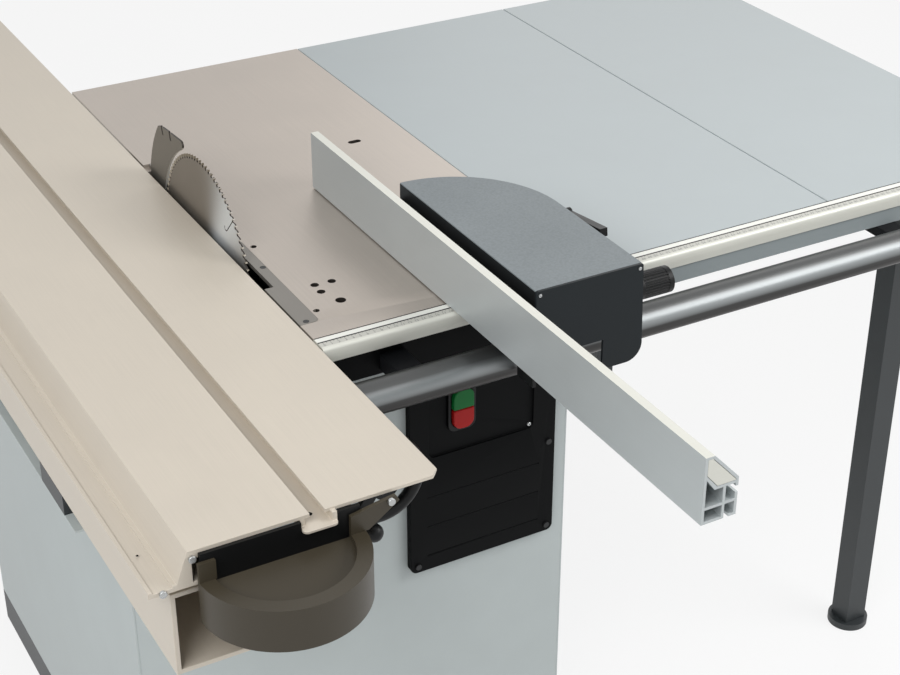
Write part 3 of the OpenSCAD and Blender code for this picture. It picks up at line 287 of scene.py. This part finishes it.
# %% Paint, plastic and rubber
def skinned(name, colour, rough, grain, depth, strength=0.4, spread=0.06, specular=0.5):
    """Paint or plastic: cloudy tone, a grained skin, and gloss that follows the grain."""
    material, shader, place = new_finish(name, 0.0, specular)
    skin = place.noise(grain, 2.0, 0.5)
    cloud = place.noise(6.0, 4.0, 0.6)
    shade = cloud * 0.7 + skin * 0.3
    dress(shader, place, ((shade - 0.5) * 1.8 + 0.5).tint(rgb(*colour, 1 - spread), rgb(*colour, 1 + spread)),
          rough + (skin - 0.5) * 0.14 + (cloud - 0.5) * 0.10, skin.bump(strength, depth))
    return material


def hammered(name, colour):
    """Hammer paint: shallow round dents whose rims hold less pigment."""
    material, shader, place = new_finish(name, 0.10, 0.35)
    dents = place.cells(330.0)
    cloud = place.noise(9.0, 4.0)
    shade = dents * 0.8 + cloud * 0.4
    dress(shader, place, shade.tint(rgb(*colour, 1.10), rgb(*colour, 0.80)),
          0.52 + (cloud - 0.5) * 0.12, dents.bump(0.25, 0.0003))
    return material


cabinet_paint = skinned("cabinet_powder_paint", (182, 190, 190), 0.44, 900, 0.00012)
extension_paint = skinned("extension_table_paint", (173, 181, 183), 0.40, 700, 0.00006, 0.3, 0.05)
apron_paint = skinned("apron_paint", (140, 148, 150), 0.45, 800, 0.00008)
dark_paint = skinned("dark_machine_paint", (46, 50, 52), 0.48, 500, 0.0002)
casting_paint = skinned("casting_paint", (88, 94, 98), 0.5, 240, 0.0005, 0.5, 0.10)
motor_paint = skinned("motor_paint", (96, 104, 110), 0.42, 600, 0.00012)
# The black cover's finish is also laid on grooves, the rail's web and small holes as painted shade.
black_cover_and_shade = skinned("black_moulded_cover", (8, 9, 10), 0.55, 1400, 0.00012, 0.4, 0.12, specular=0.08)
plate_paint = skinned("dark_end_plate_paint", (26, 31, 34), 0.44, 1000, 0.0001, 0.4, 0.10, specular=0.18)
bracket_paint = skinned("black_bracket_paint", (20, 21, 23), 0.5, 600, 0.0001, 0.4, 0.10, specular=0.12)
black_plastic = skinned("black_moulded_plastic", (11, 12, 13), 0.40, 1200, 0.00008, 0.4, 0.12, specular=0.25)
olive_plastic = skinned("olive_black_handle", (60, 54, 42), 0.42, 900, 0.00014, 0.5, 0.12, specular=0.4)
belt_rubber = skinned("ribbed_belt_rubber", (20, 20, 20), 0.7, 500, 0.0003, 0.5, 0.15)
green_plastic = skinned("green_button_plastic", (6, 100, 44), 0.36, 500, 0.00004, 0.2, 0.08, specular=0.2)
red_plastic = skinned("red_button_plastic", (160, 20, 18), 0.36, 500, 0.00004, 0.2, 0.08, specular=0.2)
white_tape = skinned("white_scale_tape", (238, 238, 231), 0.45, 900, 0.00002, 0.2, 0.03)
scale_grey = skinned("grey_scale_strip", (198, 197, 189), 0.45, 900, 0.00002, 0.2, 0.03)
scale_ink = skinned("scale_ink", (124, 125, 121), 0.5, 900, 0.00002, 0.2, 0.06)
hammer_paint = hammered("grey_hammer_paint", (128, 135, 138))
print("paints and plastics made")

# %% [markdown]
# The floor is a plain pale sheet. It has to look white and still hold the machine's shadow, so what
# the camera sees of it is part light of its own and part plain white paint, while all other rays
# meet the paint alone. The world does the same: white to the camera and to mirrors, softer as light.

# %% Floor, world and lamps
FLOOR_HALF, FLOOR_DROP, FLOOR_GLOW = 9.0, 0.0008, 0.82
SKY = 0.42
WHITE = (1, 1, 1, 1)


def seen_straight(tree):
    """One for rays from the camera, from mirrors and through glass."""
    rays = tree.nodes.new("ShaderNodeLightPath").outputs
    camera_ray, glossy, through = (Wire(tree, rays[k]) for k in
                                   ("Is Camera Ray", "Is Glossy Ray", "Is Transmission Ray"))
    return camera_ray.sums("MAXIMUM", camera_ray, glossy.sums("MAXIMUM", glossy, through))


sheet = bpy.data.meshes.new("studio_floor")
corners = [(-1, -1), (1, -1), (1, 1), (-1, 1)]
sheet.from_pydata([(x * FLOOR_HALF, y * FLOOR_HALF, -FLOOR_DROP) for x, y in corners], [], [(0, 1, 2, 3)])
floor = bpy.data.objects.new("studio_floor", sheet)
bpy.context.scene.collection.objects.link(floor)
floor_finish = bpy.data.materials.new("studio_floor_white")
floor_finish.use_nodes = True
tree = floor_finish.node_tree
paint = tree.nodes["Principled BSDF"]
paint.inputs["Roughness"].default_value = 0.9
paint.inputs["Specular IOR Level"].default_value = 0.1
start = Wire(tree)
tone = start.node("ShaderNodeTexCoord", out="Object").noise(1.2, 2.0)
start.join(tone.tint((0.86, 0.86, 0.86, 1), (0.90, 0.90, 0.90, 1)), paint.inputs["Base Color"])
glow = start.node("ShaderNodeEmission", {}, {"Color": WHITE, "Strength": 1.0})
mixed = start.node("ShaderNodeMixShader", {}, {0: seen_straight(tree) * FLOOR_GLOW, 2: glow})
tree.links.new(paint.outputs["BSDF"], mixed.socket.node.inputs[1])
tree.links.new(mixed.socket, tree.nodes["Material Output"].inputs["Surface"])
sheet.materials.append(floor_finish)

world = bpy.data.worlds.new("studio_world")
bpy.context.scene.world = world
world.use_nodes = True
sky = world.node_tree
straight = seen_straight(sky)
sky.nodes["Background"].inputs["Color"].default_value = WHITE
straight.join(straight * (1 - SKY) + SKY, sky.nodes["Background"].inputs["Strength"])


def lamp(name, spot, aim, width, watts):
    data = bpy.data.lights.new(name, "AREA")
    data.shape, data.size, data.size_y, data.energy = "RECTANGLE", width, width, watts
    made = bpy.data.objects.new(name, data)
    made.location = spot
    made.rotation_euler = (Vector(aim) - Vector(spot)).to_track_quat("-Z", "Y").to_euler()
    bpy.context.scene.collection.objects.link(made)


lamp("key_softbox", (-2.2, -1.9, 3.3), (0, 0, 0.85), 2.2, 78)
lamp("side_softbox", (1.9, -1.5, 2.2), (0.8, -0.3, 0.85), 1.4, 32)
lamp("back_softbox", (2.9, 2.6, 2.5), (0.6, 0, 0.8), 2.4, 14)
print("floor, world and three lamps set")

# %% [markdown]
# No edge on a real machine is perfectly sharp: castings are broken with a file, profiles come from
# a die with small radii, mouldings have larger ones. A copy of a CAD piece with a bevel on its sharp
# edges catches a thin highlight there. The copy stands for its CAD piece and rides the same body. The
# sliding table's plate is also thinner than its solid, which is kept stout for the sake of contact.

# %% Pieces with broken edges
FLAT_ANGLE, SHARP_ANGLE = 0.4, 32
SAME_POINT, SAME_LEVEL = 2e-6, 0.06
THIN_LEVELS = {-9: -5, -4.5: -3, -18: -14, -24: -17.5}


def piece(name, mesh, finish, body, replaced=()):
    made = bpy.data.objects.new(name, mesh)
    bpy.context.scene.collection.objects.link(made)
    mesh.materials.clear()
    mesh.materials.append(finish)
    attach(made, body)
    if replaced:
        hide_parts(*replaced)
    return made


def smooth(mesh, degrees=SHARP_ANGLE):
    mesh.polygons.foreach_set("use_smooth", [True] * len(mesh.polygons))
    mesh.set_sharp_from_angle(angle=math.radians(degrees))


def cleaned(node):
    """A CAD node's mesh with its doubled points joined and its flat faces made whole."""
    solid = bmesh.new()
    solid.from_mesh(nodes[node].data)
    bmesh.ops.remove_doubles(solid, verts=solid.verts, dist=SAME_POINT)
    bmesh.ops.dissolve_limit(solid, angle_limit=math.radians(FLAT_ANGLE), verts=solid.verts,
                             edges=solid.edges)
    return solid


def broken_edges(made, width, segments=2, angle=SHARP_ANGLE):
    rounding = made.modifiers.new("edge_rounding", "BEVEL")
    rounding.width, rounding.segments = width * MM, segments
    rounding.limit_method, rounding.angle_limit = "ANGLE", math.radians(angle)
    rounding.harden_normals = True
    rounding.use_clamp_overlap = True
    return made


def thinned(solid):
    """Thins the sliding table's plate and slot: levels under the top in millimetres, old to new."""
    for point in solid.verts:
        level = (point.co.z - TOP) / MM
        for old, new in THIN_LEVELS.items():
            if abs(level - old) < SAME_LEVEL:
                point.co.z = TOP + new * MM


def softened(node, finish, width, segments=2):
    """The CAD piece again, with its sharp edges rounded by width millimetres."""
    solid = cleaned(node)
    if node == "slide_table":
        thinned(solid)
    mesh = bpy.data.meshes.new(node + "_finished")
    solid.to_mesh(mesh)
    solid.free()
    smooth(mesh)
    made = piece(node + "_finished", mesh, finish, body_of[node], [node])
    return broken_edges(made, width, segments)


ROUNDED = (
    (iron, 1.2, 2, "main_table"),
    (anodised, 0.8, 2, "slide_table"),
    (anodised, 1.0, 2, "slide_rail"),
    (extension_paint, 2.4, 2, "extension_table_inner extension_table_outer"),
    (apron_paint, 0.8, 2, "rail_apron"),
    (fence_metal, 0.5, 2, "fence_profile"),
    (rail_metal, 0.5, 2, "fence_end_plug"),
    (insert_metal, 0.8, 2, "table_insert"),
    (cabinet_paint, 0.8, 2, "cabinet_front cabinet_right cabinet_left cabinet_back"),
    (dark_paint, 2.0, 2, "base_frame"),
    (bracket_paint, 1.5, 2, "bar_brackets"),
    (black_cover_and_shade, 0.8, 2, "front_cover"),
    (black_plastic, 0.5, 2, "fine_knob"),
    (black_plastic, 1.0, 2, "dust_port"),
    (black_plastic, 1.2, 2, "switch_bezel"),
    (black_plastic, 1.6, 4, "lift_handwheel tilt_handwheel"),
    (black_plastic, 2.6, 4, "clamp_lever"),
    (olive_plastic, 5.0, 4, "push_handle"),
    (green_plastic, 2.2, 4, "start_button"),
    (red_plastic, 2.2, 4, "stop_button"),
    (zinc, 0.8, 2, "slide_screws"),
)
for finish, width, segments, names in ROUNDED:
    for node in names.split():
        softened(node, finish, width, segments)

INSERT_RIGHT, TOP_SKIN = 30, 0.5
table = bpy.data.objects["main_table_finished"].data
table.materials.append(bored_iron)
for face in table.polygons:
    face.material_index = int(abs(face.normal.z) < 0.5 and face.center.x > INSERT_RIGHT * MM)
fence = bpy.data.objects["fence_profile_finished"].data
fence.materials.append(rail_metal)
fence_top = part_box("fence_profile")[1].z
for face in fence.polygons:
    face.material_index = int(face.normal.z > 0.9 and face.center.z > fence_top - TOP_SKIN * MM)

# %% [markdown]
# Four shapes come up again and again on a machine: a flat plate cut to an outline, a turned part, a
# screw head and a row of flat marks. A function makes each of the first three, in metres, and many
# pieces below are calls of them.

# %% Plates, turned parts and screw heads
def meshed(solid, name, degrees=SHARP_ANGLE):
    bmesh.ops.recalc_face_normals(solid, faces=solid.faces)
    mesh = bpy.data.meshes.new(name)
    solid.to_mesh(mesh)
    solid.free()
    smooth(mesh, degrees)
    return mesh


def plate(solid, loops, low, high, place):
    """Adds a plate between two levels: the first loop is its outline, the others are its holes."""
    levels = []
    for level in (low, high):
        rows = [[solid.verts.new(place(u, v, level)) for u, v in loop] for loop in loops]
        rims = [solid.edges.new((row[k - 1], row[k])) for row in rows for k in range(len(row))]
        bmesh.ops.triangle_fill(solid, edges=rims, use_beauty=True)
        levels.append(rows)
    for under, over in zip(*levels):
        for k in range(len(under)):
            solid.faces.new((under[k - 1], under[k], over[k], over[k - 1]))


def arc(radius, start, end, centre=(0, 0), steps=24):
    """Points of an arc, its angles in degrees."""
    turns = [math.radians(start + (end - start) * k / steps) for k in range(steps + 1)]
    return [(centre[0] + radius * math.cos(a), centre[1] + radius * math.sin(a)) for a in turns]


def turned(solid, profile, centre, axis, steps=28):
    """Adds a turned part: rows of radius, height along the axis and sides, 0 sides meaning round."""
    turn = Vector(axis).to_track_quat("Z", "Y").to_matrix()
    rings = []
    for radius, height, sides in profile:
        ring = []
        for k in range(steps):
            angle = 2 * math.pi * k / steps
            reach = radius
            if sides:
                half = math.pi / sides
                reach = radius * math.cos(half) / math.cos(angle % (2 * half) - half)
            point = Vector((reach * math.cos(angle), reach * math.sin(angle), height))
            ring.append(solid.verts.new(centre + turn @ point))
        rings.append(ring)
    for low, high in zip(rings, rings[1:]):
        for k in range(steps):
            solid.faces.new((low[k - 1], low[k], high[k], high[k - 1]))
    solid.faces.new(rings[0])
    solid.faces.new(rings[-1])


def screw_head(solid, centre, radius, height, axis):
    """Adds a domed head with a hexagon socket, its seat at centre."""
    socket, floor_level = radius * 0.46, height * 0.35
    profile = [(socket, floor_level, 6), (socket, height, 6), (radius * 0.80, height, 0),
               (radius * 0.95, height * 0.82, 0), (radius, height * 0.5, 0), (radius, 0, 0)]
    turned(solid, profile, centre, axis, 24)


def screw_set(name, seats, finish, body, replaced=()):
    """One piece of several screws: seat, radius and height in millimetres, and the way they face."""
    solid = bmesh.new()
    for seat, radius, height, axis in seats:
        screw_head(solid, at(*seat), radius * MM, height * MM, axis)
    print(name, len(seats), "screws")
    return piece(name, meshed(solid, name), finish, body, replaced)


print("plate, turned and screw_head ready")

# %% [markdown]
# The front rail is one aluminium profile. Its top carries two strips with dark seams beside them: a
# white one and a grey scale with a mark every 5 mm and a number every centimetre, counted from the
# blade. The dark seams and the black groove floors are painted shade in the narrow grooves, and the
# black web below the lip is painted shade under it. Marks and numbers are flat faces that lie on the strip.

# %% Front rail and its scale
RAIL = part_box("front_rail")
TABLE_FRONT = -366
LIP_LOW, GROOVE_FLOOR = -21.9, -1.5
STRIP_LIFT, SEAM_START = 0.15, 0.6
WHITE_STRIP, GREY_STRIP = (2.4, 11.8), (14.2, 24.0)
rail = softened("front_rail", rail_metal, 0.4)
# Faces below the lip and the groove floors take black as painted shade.
rail.data.materials.append(black_cover_and_shade)
for face in rail.data.polygons:
    height = (face.center.z - TOP) / MM
    if height < LIP_LOW or (height < GROOVE_FLOOR / 2 and face.normal.z > 0.9):
        face.material_index = 1


def strip(name, edges, finish):
    solid = bmesh.new()
    far, near = (at(0, TABLE_FRONT - edge, 0).y for edge in edges)
    corners = [(RAIL[0].x, near), (RAIL[1].x, near), (RAIL[1].x, far), (RAIL[0].x, far)]
    plate(solid, [corners], TOP, TOP + STRIP_LIFT * MM, lambda u, v, w: Vector((u, v, w)))
    return piece(name, meshed(solid, name), finish, "stand")


strip("white_guide_strip", WHITE_STRIP, white_tape)
strip("grey_scale_strip", GREY_STRIP, scale_grey)
# Two dark strips over the grooves beside the white strip: painted shade.
strip("dark_table_seam", (SEAM_START, WHITE_STRIP[0]), black_cover_and_shade)
strip("dark_strip_seam", (WHITE_STRIP[1], GREY_STRIP[0]), black_cover_and_shade)

MARK_STEP, MARK_HALF, LONG_MARK, SHORT_MARK = 5, 0.3, 3.6, 2.2
SCALE_START, SCALE_MARGIN, INK_LIFT = TABLE_FRONT - GREY_STRIP[0] - 0.4, 6, STRIP_LIFT + 0.05
NUMBER_SIZE, NUMBER_FOOT = 0.0064, TABLE_FRONT - GREY_STRIP[1] + 0.7
marks = bmesh.new()
for x in range(0, int(RAIL[1].x / MM) - SCALE_MARGIN, MARK_STEP):
    numbered = x % 10 == 0
    low = SCALE_START - (LONG_MARK if numbered else SHORT_MARK)
    before, after = x - MARK_HALF, x + MARK_HALF
    corners = [(before, low), (after, low), (after, SCALE_START), (before, SCALE_START)]
    marks.faces.new([marks.verts.new(at(u, v, INK_LIFT)) for u, v in corners])
    if numbered:
        lettering = bpy.data.curves.new("scale_number", "FONT")
        lettering.body, lettering.size, lettering.align_x = str(x // 10), NUMBER_SIZE, "CENTER"
        lettering.resolution_u = 2
        holder = bpy.data.objects.new("scale_number", lettering)
        flat = bpy.data.meshes.new_from_object(holder)
        flat.transform(Matrix.Translation(at(x, NUMBER_FOOT, INK_LIFT)))
        marks.from_mesh(flat)
        bpy.data.objects.remove(holder)
        bpy.data.meshes.remove(flat)
mesh = bpy.data.meshes.new("scale_marks")
print("scale:", len(marks.faces), "faces of marks and numbers")
marks.to_mesh(mesh)
marks.free()
piece("scale_marks", mesh, scale_ink, "stand")

# %% [markdown]
# A black moulded plate closes the near end of the sliding table. It fits under the thin plate and
# round the slot's channel, so it is cut to that outline again.

# %% End cover of the sliding table
COVER_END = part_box("slide_end_cover")
end_left, end_right = COVER_END[0].x / MM, COVER_END[1].x / MM
end_low, UNDER_PLATE, UNDER_CHANNEL = (COVER_END[0].z - TOP) / MM, -5.1, -17.8
CHANNEL_LEFT, CHANNEL_RIGHT = -182.3, -139.7
outline = [(end_left, end_low), (end_right, end_low), (end_right, UNDER_PLATE),
           (CHANNEL_RIGHT, UNDER_PLATE), (CHANNEL_RIGHT, UNDER_CHANNEL),
           (CHANNEL_LEFT, UNDER_CHANNEL), (CHANNEL_LEFT, UNDER_PLATE), (end_left, UNDER_PLATE)]
solid = bmesh.new()
plate(solid, [outline], COVER_END[0].y / MM, COVER_END[1].y / MM, lambda u, v, w: at(u, w, v))
made = piece("slide_end_cover_finished", meshed(solid, "slide_end_cover_finished"), black_plastic,
             "sliding_table", ["slide_end_cover"])
broken_edges(made, 0.2)
print("end cover:", len(outline), "corners")

# %% [markdown]
# The fence carrier is a casting with a flat roof in grey hammer paint and walls in black. The CAD
# copy is cut just under the roof: the upper part keeps the paint and gets a filed edge, the lower
# part is the walls. A dark plate with a notch for the bar closes the near end, held by two small
# screws, and a bright washer sits behind the fine adjusting knob.

# %% Fence carrier
PAINT_EDGE, CASTING_ANGLE = 2, 38
FACE, BACK, NOTCH_WIDE, NOTCH_HIGH, CORNER, NIP = -516, -512, 56, -20, 24, 3
FOOT_FLARE, TOP_FLARE = 4.5, 0.5
PLATE_SCREW_IN, PLATE_SCREW_DOWN, PLATE_SCREW_R, PLATE_SCREW_H = 5, 6, 2.4, 1.4
KNOB_Y, KNOB_Z, WASHER_OUT = -488, 26, 3.6
WASHER = [(12, 0, 0), (13, 0.6, 0), (13, 2.4, 0), (12, 3, 0)]


def cut_off(solid, point, facing):
    """Cuts away what lies beyond a plane and closes the cut."""
    everything = list(solid.verts) + list(solid.edges) + list(solid.faces)
    cut = bmesh.ops.bisect_plane(solid, geom=everything, plane_co=point, plane_no=facing,
                                 clear_outer=True)
    rims = [item for item in cut["geom_cut"] if isinstance(item, bmesh.types.BMEdge)]
    bmesh.ops.edgenet_fill(solid, edges=rims)


left, right = (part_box("fence_carrier")[k].x / MM for k in (0, 1))
low, high = ((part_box("fence_carrier")[k].z - TOP) / MM for k in (0, 1))
notch_left = right - NOTCH_WIDE
seam = at(0, 0, high - PAINT_EDGE)
solid = cleaned("fence_carrier")
cut_off(solid, seam, (0, 0, -1))
roof = piece("fence_carrier_roof", meshed(solid, "fence_carrier_roof", CASTING_ANGLE), hammer_paint,
             "carrier", ["fence_carrier"])
broken_edges(roof, 1.2, 3)
solid = cleaned("fence_carrier")
cut_off(solid, seam, (0, 0, 1))
cut_off(solid, at(right - CORNER, 0, low), (1, 0, -1))
walls = piece("fence_carrier_walls", meshed(solid, "fence_carrier_walls", CASTING_ANGLE), black_plastic,
              "carrier")
end = [(notch_left, low)] + arc(CORNER, -90, 0, (right + FOOT_FLARE - CORNER, low + CORNER), 10)
end += arc(NIP, 0, 90, (right + TOP_FLARE - NIP, high - NIP), 4)
end += arc(NIP, 90, 180, (left + NIP, high - NIP), 4)
end += [(left, NOTCH_HIGH), (notch_left, NOTCH_HIGH)]
solid = bmesh.new()
plate(solid, [end], FACE, BACK, lambda u, v, w: at(u, w, v))
made = piece("carrier_end_plate_finished", meshed(solid, "carrier_end_plate_finished"), plate_paint,
             "carrier", ["carrier_end_plate"])
broken_edges(made, 1.2, 3)
plate_seats = [((x, FACE, high - PLATE_SCREW_DOWN), PLATE_SCREW_R, PLATE_SCREW_H, (0, -1, 0))
               for x in (left + PLATE_SCREW_IN, right - PLATE_SCREW_IN)]
screw_set("carrier_plate_screws", plate_seats, zinc, "carrier")
solid = bmesh.new()
turned(solid, WASHER, Vector(), (1, 0, 0), 40)
bmesh.ops.scale(solid, vec=(MM, MM, MM), verts=solid.verts)
bmesh.ops.translate(solid, vec=at(right + WASHER_OUT, KNOB_Y, KNOB_Z), verts=solid.verts)
piece("fine_knob_washer", meshed(solid, "fine_knob_washer"), zinc, "fine_adjuster")
print("carrier roof:", len(roof.data.polygons), "faces, walls:", len(walls.data.polygons))

# %% [markdown]
# A saw blade is a thin ground plate with carbide tips brazed to its teeth. The plate's outline goes
# round tooth by tooth: tip, sloping back, round gullet. Three expansion slots run in from a gullet and
# end in a hook, which lets the hot rim grow. The tips are wider than the plate, so only they cut.

# %% Saw blade
TEETH, RIM, ROOT = 96, 157.5, 6.4
PITCH = 360 / TEETH
FIRST, SLOTS, SLOT_TOOTH, SLOT_TURN, SLOT_HALF = 2.16, 3, 28, 3.56, 0.8
PLATE_IN, TIP_OUT, BORE_R, BORE_STEPS = 0.6, 0.5, 15.2, 48
TOOTH = [(0, 0), (0.6, 1.1), (2.4, 2.05), (5.4, 2.85),
         (ROOT, 3.35), (ROOT, 3.75), (5.6, 4.2), (3.2, 4.03)]
TIP = [(0, 0.28), (0.5, -0.47), (4.4, -0.8), (4.4, -0.28)]
SLOT_LINE = [(RIM - ROOT - PLATE_IN, 0), (121, 0), (116, 0.5), (114, 1.9), (115, 3.3), (118, 4.0)]
PLATE_SHARE = 0.9


def polar(radius, degrees):
    return radius * math.cos(math.radians(degrees)) * MM, radius * math.sin(math.radians(degrees)) * MM


def on_blade(u, v, x):
    return Vector((x, u, ARBOR_Z + v))


def slot_sides(middle):
    """Both sides of an expansion slot, from the rim inwards and back out."""
    line = [Vector(polar(radius, middle - turn)) for radius, turn in SLOT_LINE]
    near, far = [], []
    for k, point in enumerate(line):
        run = line[min(k + 1, len(line) - 1)] - line[max(k - 1, 0)]
        side = Vector((-run.y, run.x)).normalized() * SLOT_HALF * MM
        near.append(point - side)
        far.append(point + side)
    return [tuple(p) for p in near + far[::-1]]


outline, tips = [], bmesh.new()
half_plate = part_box("saw_blade")[1].x * PLATE_SHARE
half_tip = half_plate + TIP_OUT * MM
for tooth in range(TEETH):
    face = FIRST - PITCH * tooth
    for k, (down, behind) in enumerate(TOOTH):
        outline.append(polar(RIM - PLATE_IN - down, face - behind))
        if k == 4 and tooth % (TEETH // SLOTS) == SLOT_TOOTH:
            outline += slot_sides(face - SLOT_TURN)
    plate(tips, [[polar(RIM - down, face + turn) for down, turn in TIP]], -half_tip, half_tip, on_blade)
bore = [polar(BORE_R, 360 * k / BORE_STEPS) for k in range(BORE_STEPS)]
disc = bmesh.new()
plate(disc, [outline, bore], -half_plate, half_plate, on_blade)
made = piece("saw_blade_plate", meshed(disc, "saw_blade_plate"), blade_metal,
             "arbor", ["saw_blade"])
# The plate's edge faces, round the teeth and in the gullets, slots and bore, take the dark steel as painted
# shade.
made.data.materials.append(shaded_edge_metal)
for face in made.data.polygons:
    face.material_index = int(abs(face.normal.x) < 0.5)
piece("saw_blade_tips", meshed(tips, "saw_blade_tips"), carbide, "arbor")
print("blade:", TEETH, "teeth,", len(outline), "points round the rim")

# %% [markdown]
# The riving knife stands close behind the blade in its kerf and follows its curve. It is cut from
# rolled plate with a round nose at the front, a rounded back corner and two short notches in its top
# edge that hold a guard. The outline is in millimetres from the arbor, along the feed and up.

# %% Riving knife
KNIFE_IN, KNIFE_OUT, KNIFE_BACK, KNIFE_FOOT, KNIFE_HALF = 163, 221, 211, 20, 1.4
NOTCH, NOSE_R, NOSE, BACK_CORNER = 2.5, 6.0, (73.6, 153.6), (152.6, 146.8)
NOTCHES = (((117.3, 156.4), (114.1, 144.4)), ((149.0, 153.6), (144.8, 141.6)))
knife = arc(KNIFE_IN, -KNIFE_FOOT, 63.5)
knife += arc(NOSE_R, 212, 96, NOSE, 8)
for top, foot in NOTCHES:
    knife += [(top[0] - NOTCH, top[1]), (foot[0] - NOTCH, foot[1])]
    knife += [(foot[0] + NOTCH, foot[1]), (top[0] + NOTCH, top[1])]
knife += arc(NOSE_R, 84, 46, BACK_CORNER, 6)
knife += arc(KNIFE_OUT, 42.5, math.degrees(math.acos(KNIFE_BACK / KNIFE_OUT)))
knife += [(KNIFE_BACK, -KNIFE_BACK * math.tan(math.radians(KNIFE_FOOT)))]
disc = bmesh.new()
plate(disc, [[(u * MM, v * MM) for u, v in knife]], -KNIFE_HALF * MM, KNIFE_HALF * MM, on_blade)
made = piece("riving_knife_finished", meshed(disc, "riving_knife_finished"), knife_metal,
             "saw_unit", ["riving_knife"])
# The knife's edge faces carry painted light: the inner curved edge is pale steel as a painted highlight, the
# other edges dark steel as painted shade.
made.data.materials.append(lit_edge_metal)
made.data.materials.append(shaded_edge_metal)
for face in made.data.polygons:
    reach = math.hypot(face.center.y, face.center.z - ARBOR_Z) / MM
    if abs(face.normal.x) < 0.5:
        face.material_index = 1 if reach < KNIFE_IN + 1.5 else 2
broken_edges(made, 0.4, 1, 60)
print("riving knife:", len(knife), "points")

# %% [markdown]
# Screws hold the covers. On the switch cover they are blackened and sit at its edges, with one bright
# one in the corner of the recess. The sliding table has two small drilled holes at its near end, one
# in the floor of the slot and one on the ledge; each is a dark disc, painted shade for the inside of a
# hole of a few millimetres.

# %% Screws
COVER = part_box("front_cover")
COVER_SCREW_IN, COVER_SCREW_R, COVER_SCREW_H, COVER_SHARES = 11, 4.6, 2.4, (0.03, 0.43)
RECESS_SCREW, RECESS_DEEP = (327, -240, 3.2, 2.2), 4
HOLES, HOLE_LIFT = ((-162.6, -686.6, -13.9, 3.2), (-344, -635.5, -37.9, 1.6)), 0.05
cover_face, toward_us = COVER[0].y / MM, (0, -1, 0)
cover_left, cover_right = COVER[0].x / MM, COVER[1].x / MM
cover_low, cover_high = (COVER[0].z - TOP) / MM, (COVER[1].z - TOP) / MM
cover_seats = [((x, cover_face, cover_low + share * (cover_high - cover_low)),
                COVER_SCREW_R, COVER_SCREW_H, toward_us)
               for x in (cover_left + COVER_SCREW_IN, cover_right - COVER_SCREW_IN)
               for share in COVER_SHARES]
screw_set("cover_screws", cover_seats, dark_screw, "stand")
x, z, radius, height = RECESS_SCREW
recess_seat = ((x, cover_face + RECESS_DEEP, z), radius, height, toward_us)
screw_set("recess_screw", [recess_seat], zinc, "stand")
# Dark discs as painted shade inside two drilled holes.
holes = bmesh.new()
for x, y, z, radius in HOLES:
    turned(holes, [(radius * MM, 0, 0), (radius * MM, HOLE_LIFT * MM, 0)], at(x, y, z), (0, 0, 1), 20)
piece("sliding_table_holes", meshed(holes, "sliding_table_holes"), black_cover_and_shade,
      "sliding_table")

# %% [markdown]
# The guide bar is a thick ground and plated round bar with a small chamfer at both ends, so the
# carrier's bush slides on without a burr.

# %% Guide bar
BAR_CHAMFER, BAR_STEPS = 2 * MM, 72
solid = bmesh.new()
reach = BAR[1].x - BAR[0].x
profile = [(BAR_R - BAR_CHAMFER, 0, 0), (BAR_R, BAR_CHAMFER, 0), (BAR_R, reach - BAR_CHAMFER, 0),
           (BAR_R - BAR_CHAMFER, reach, 0)]
turned(solid, profile, Vector((BAR[0].x, (BAR[0].y + BAR[1].y) / 2, BAR_Z)), (1, 0, 0), BAR_STEPS)
piece("guide_bar_finished", meshed(solid, "guide_bar_finished"), chrome,
      "stand", ["guide_bar"])
print("guide bar:", round(2 * BAR_R / MM, 1), "mm thick")

# %% [markdown]
# Everything that is hidden or small keeps its CAD shape and takes a finish of its own.

# %% Finishes for the other CAD pieces
for finish, names in (
        (dark_paint, "extension_legs rail_brackets knife_holder bar_bush"),
        (casting_paint, "trunnion_brackets tilt_frame saw_saddle"),
        (turned_metal, "arbor_shaft outer_flange arbor_nut arbor_pulley motor_pulley lift_shaft lift_screw "
                       "tilt_worm_shaft trunnion_keys fence_tbolts arbor_bearings roller_cage"),
        (dark_screw, "panel_screws"), (column_metal, "guide_columns"),
        (gear_metal, "tilt_sector"), (motor_paint, "motor"), (belt_rubber, "drive_belt"),
        (black_plastic, "dust_hood lift_knob tilt_knob")):
    for name in names.split():
        nodes[name].data.materials.clear()
        nodes[name].data.materials.append(finish)
        smooth(nodes[name].data)
print("other CAD pieces dressed")
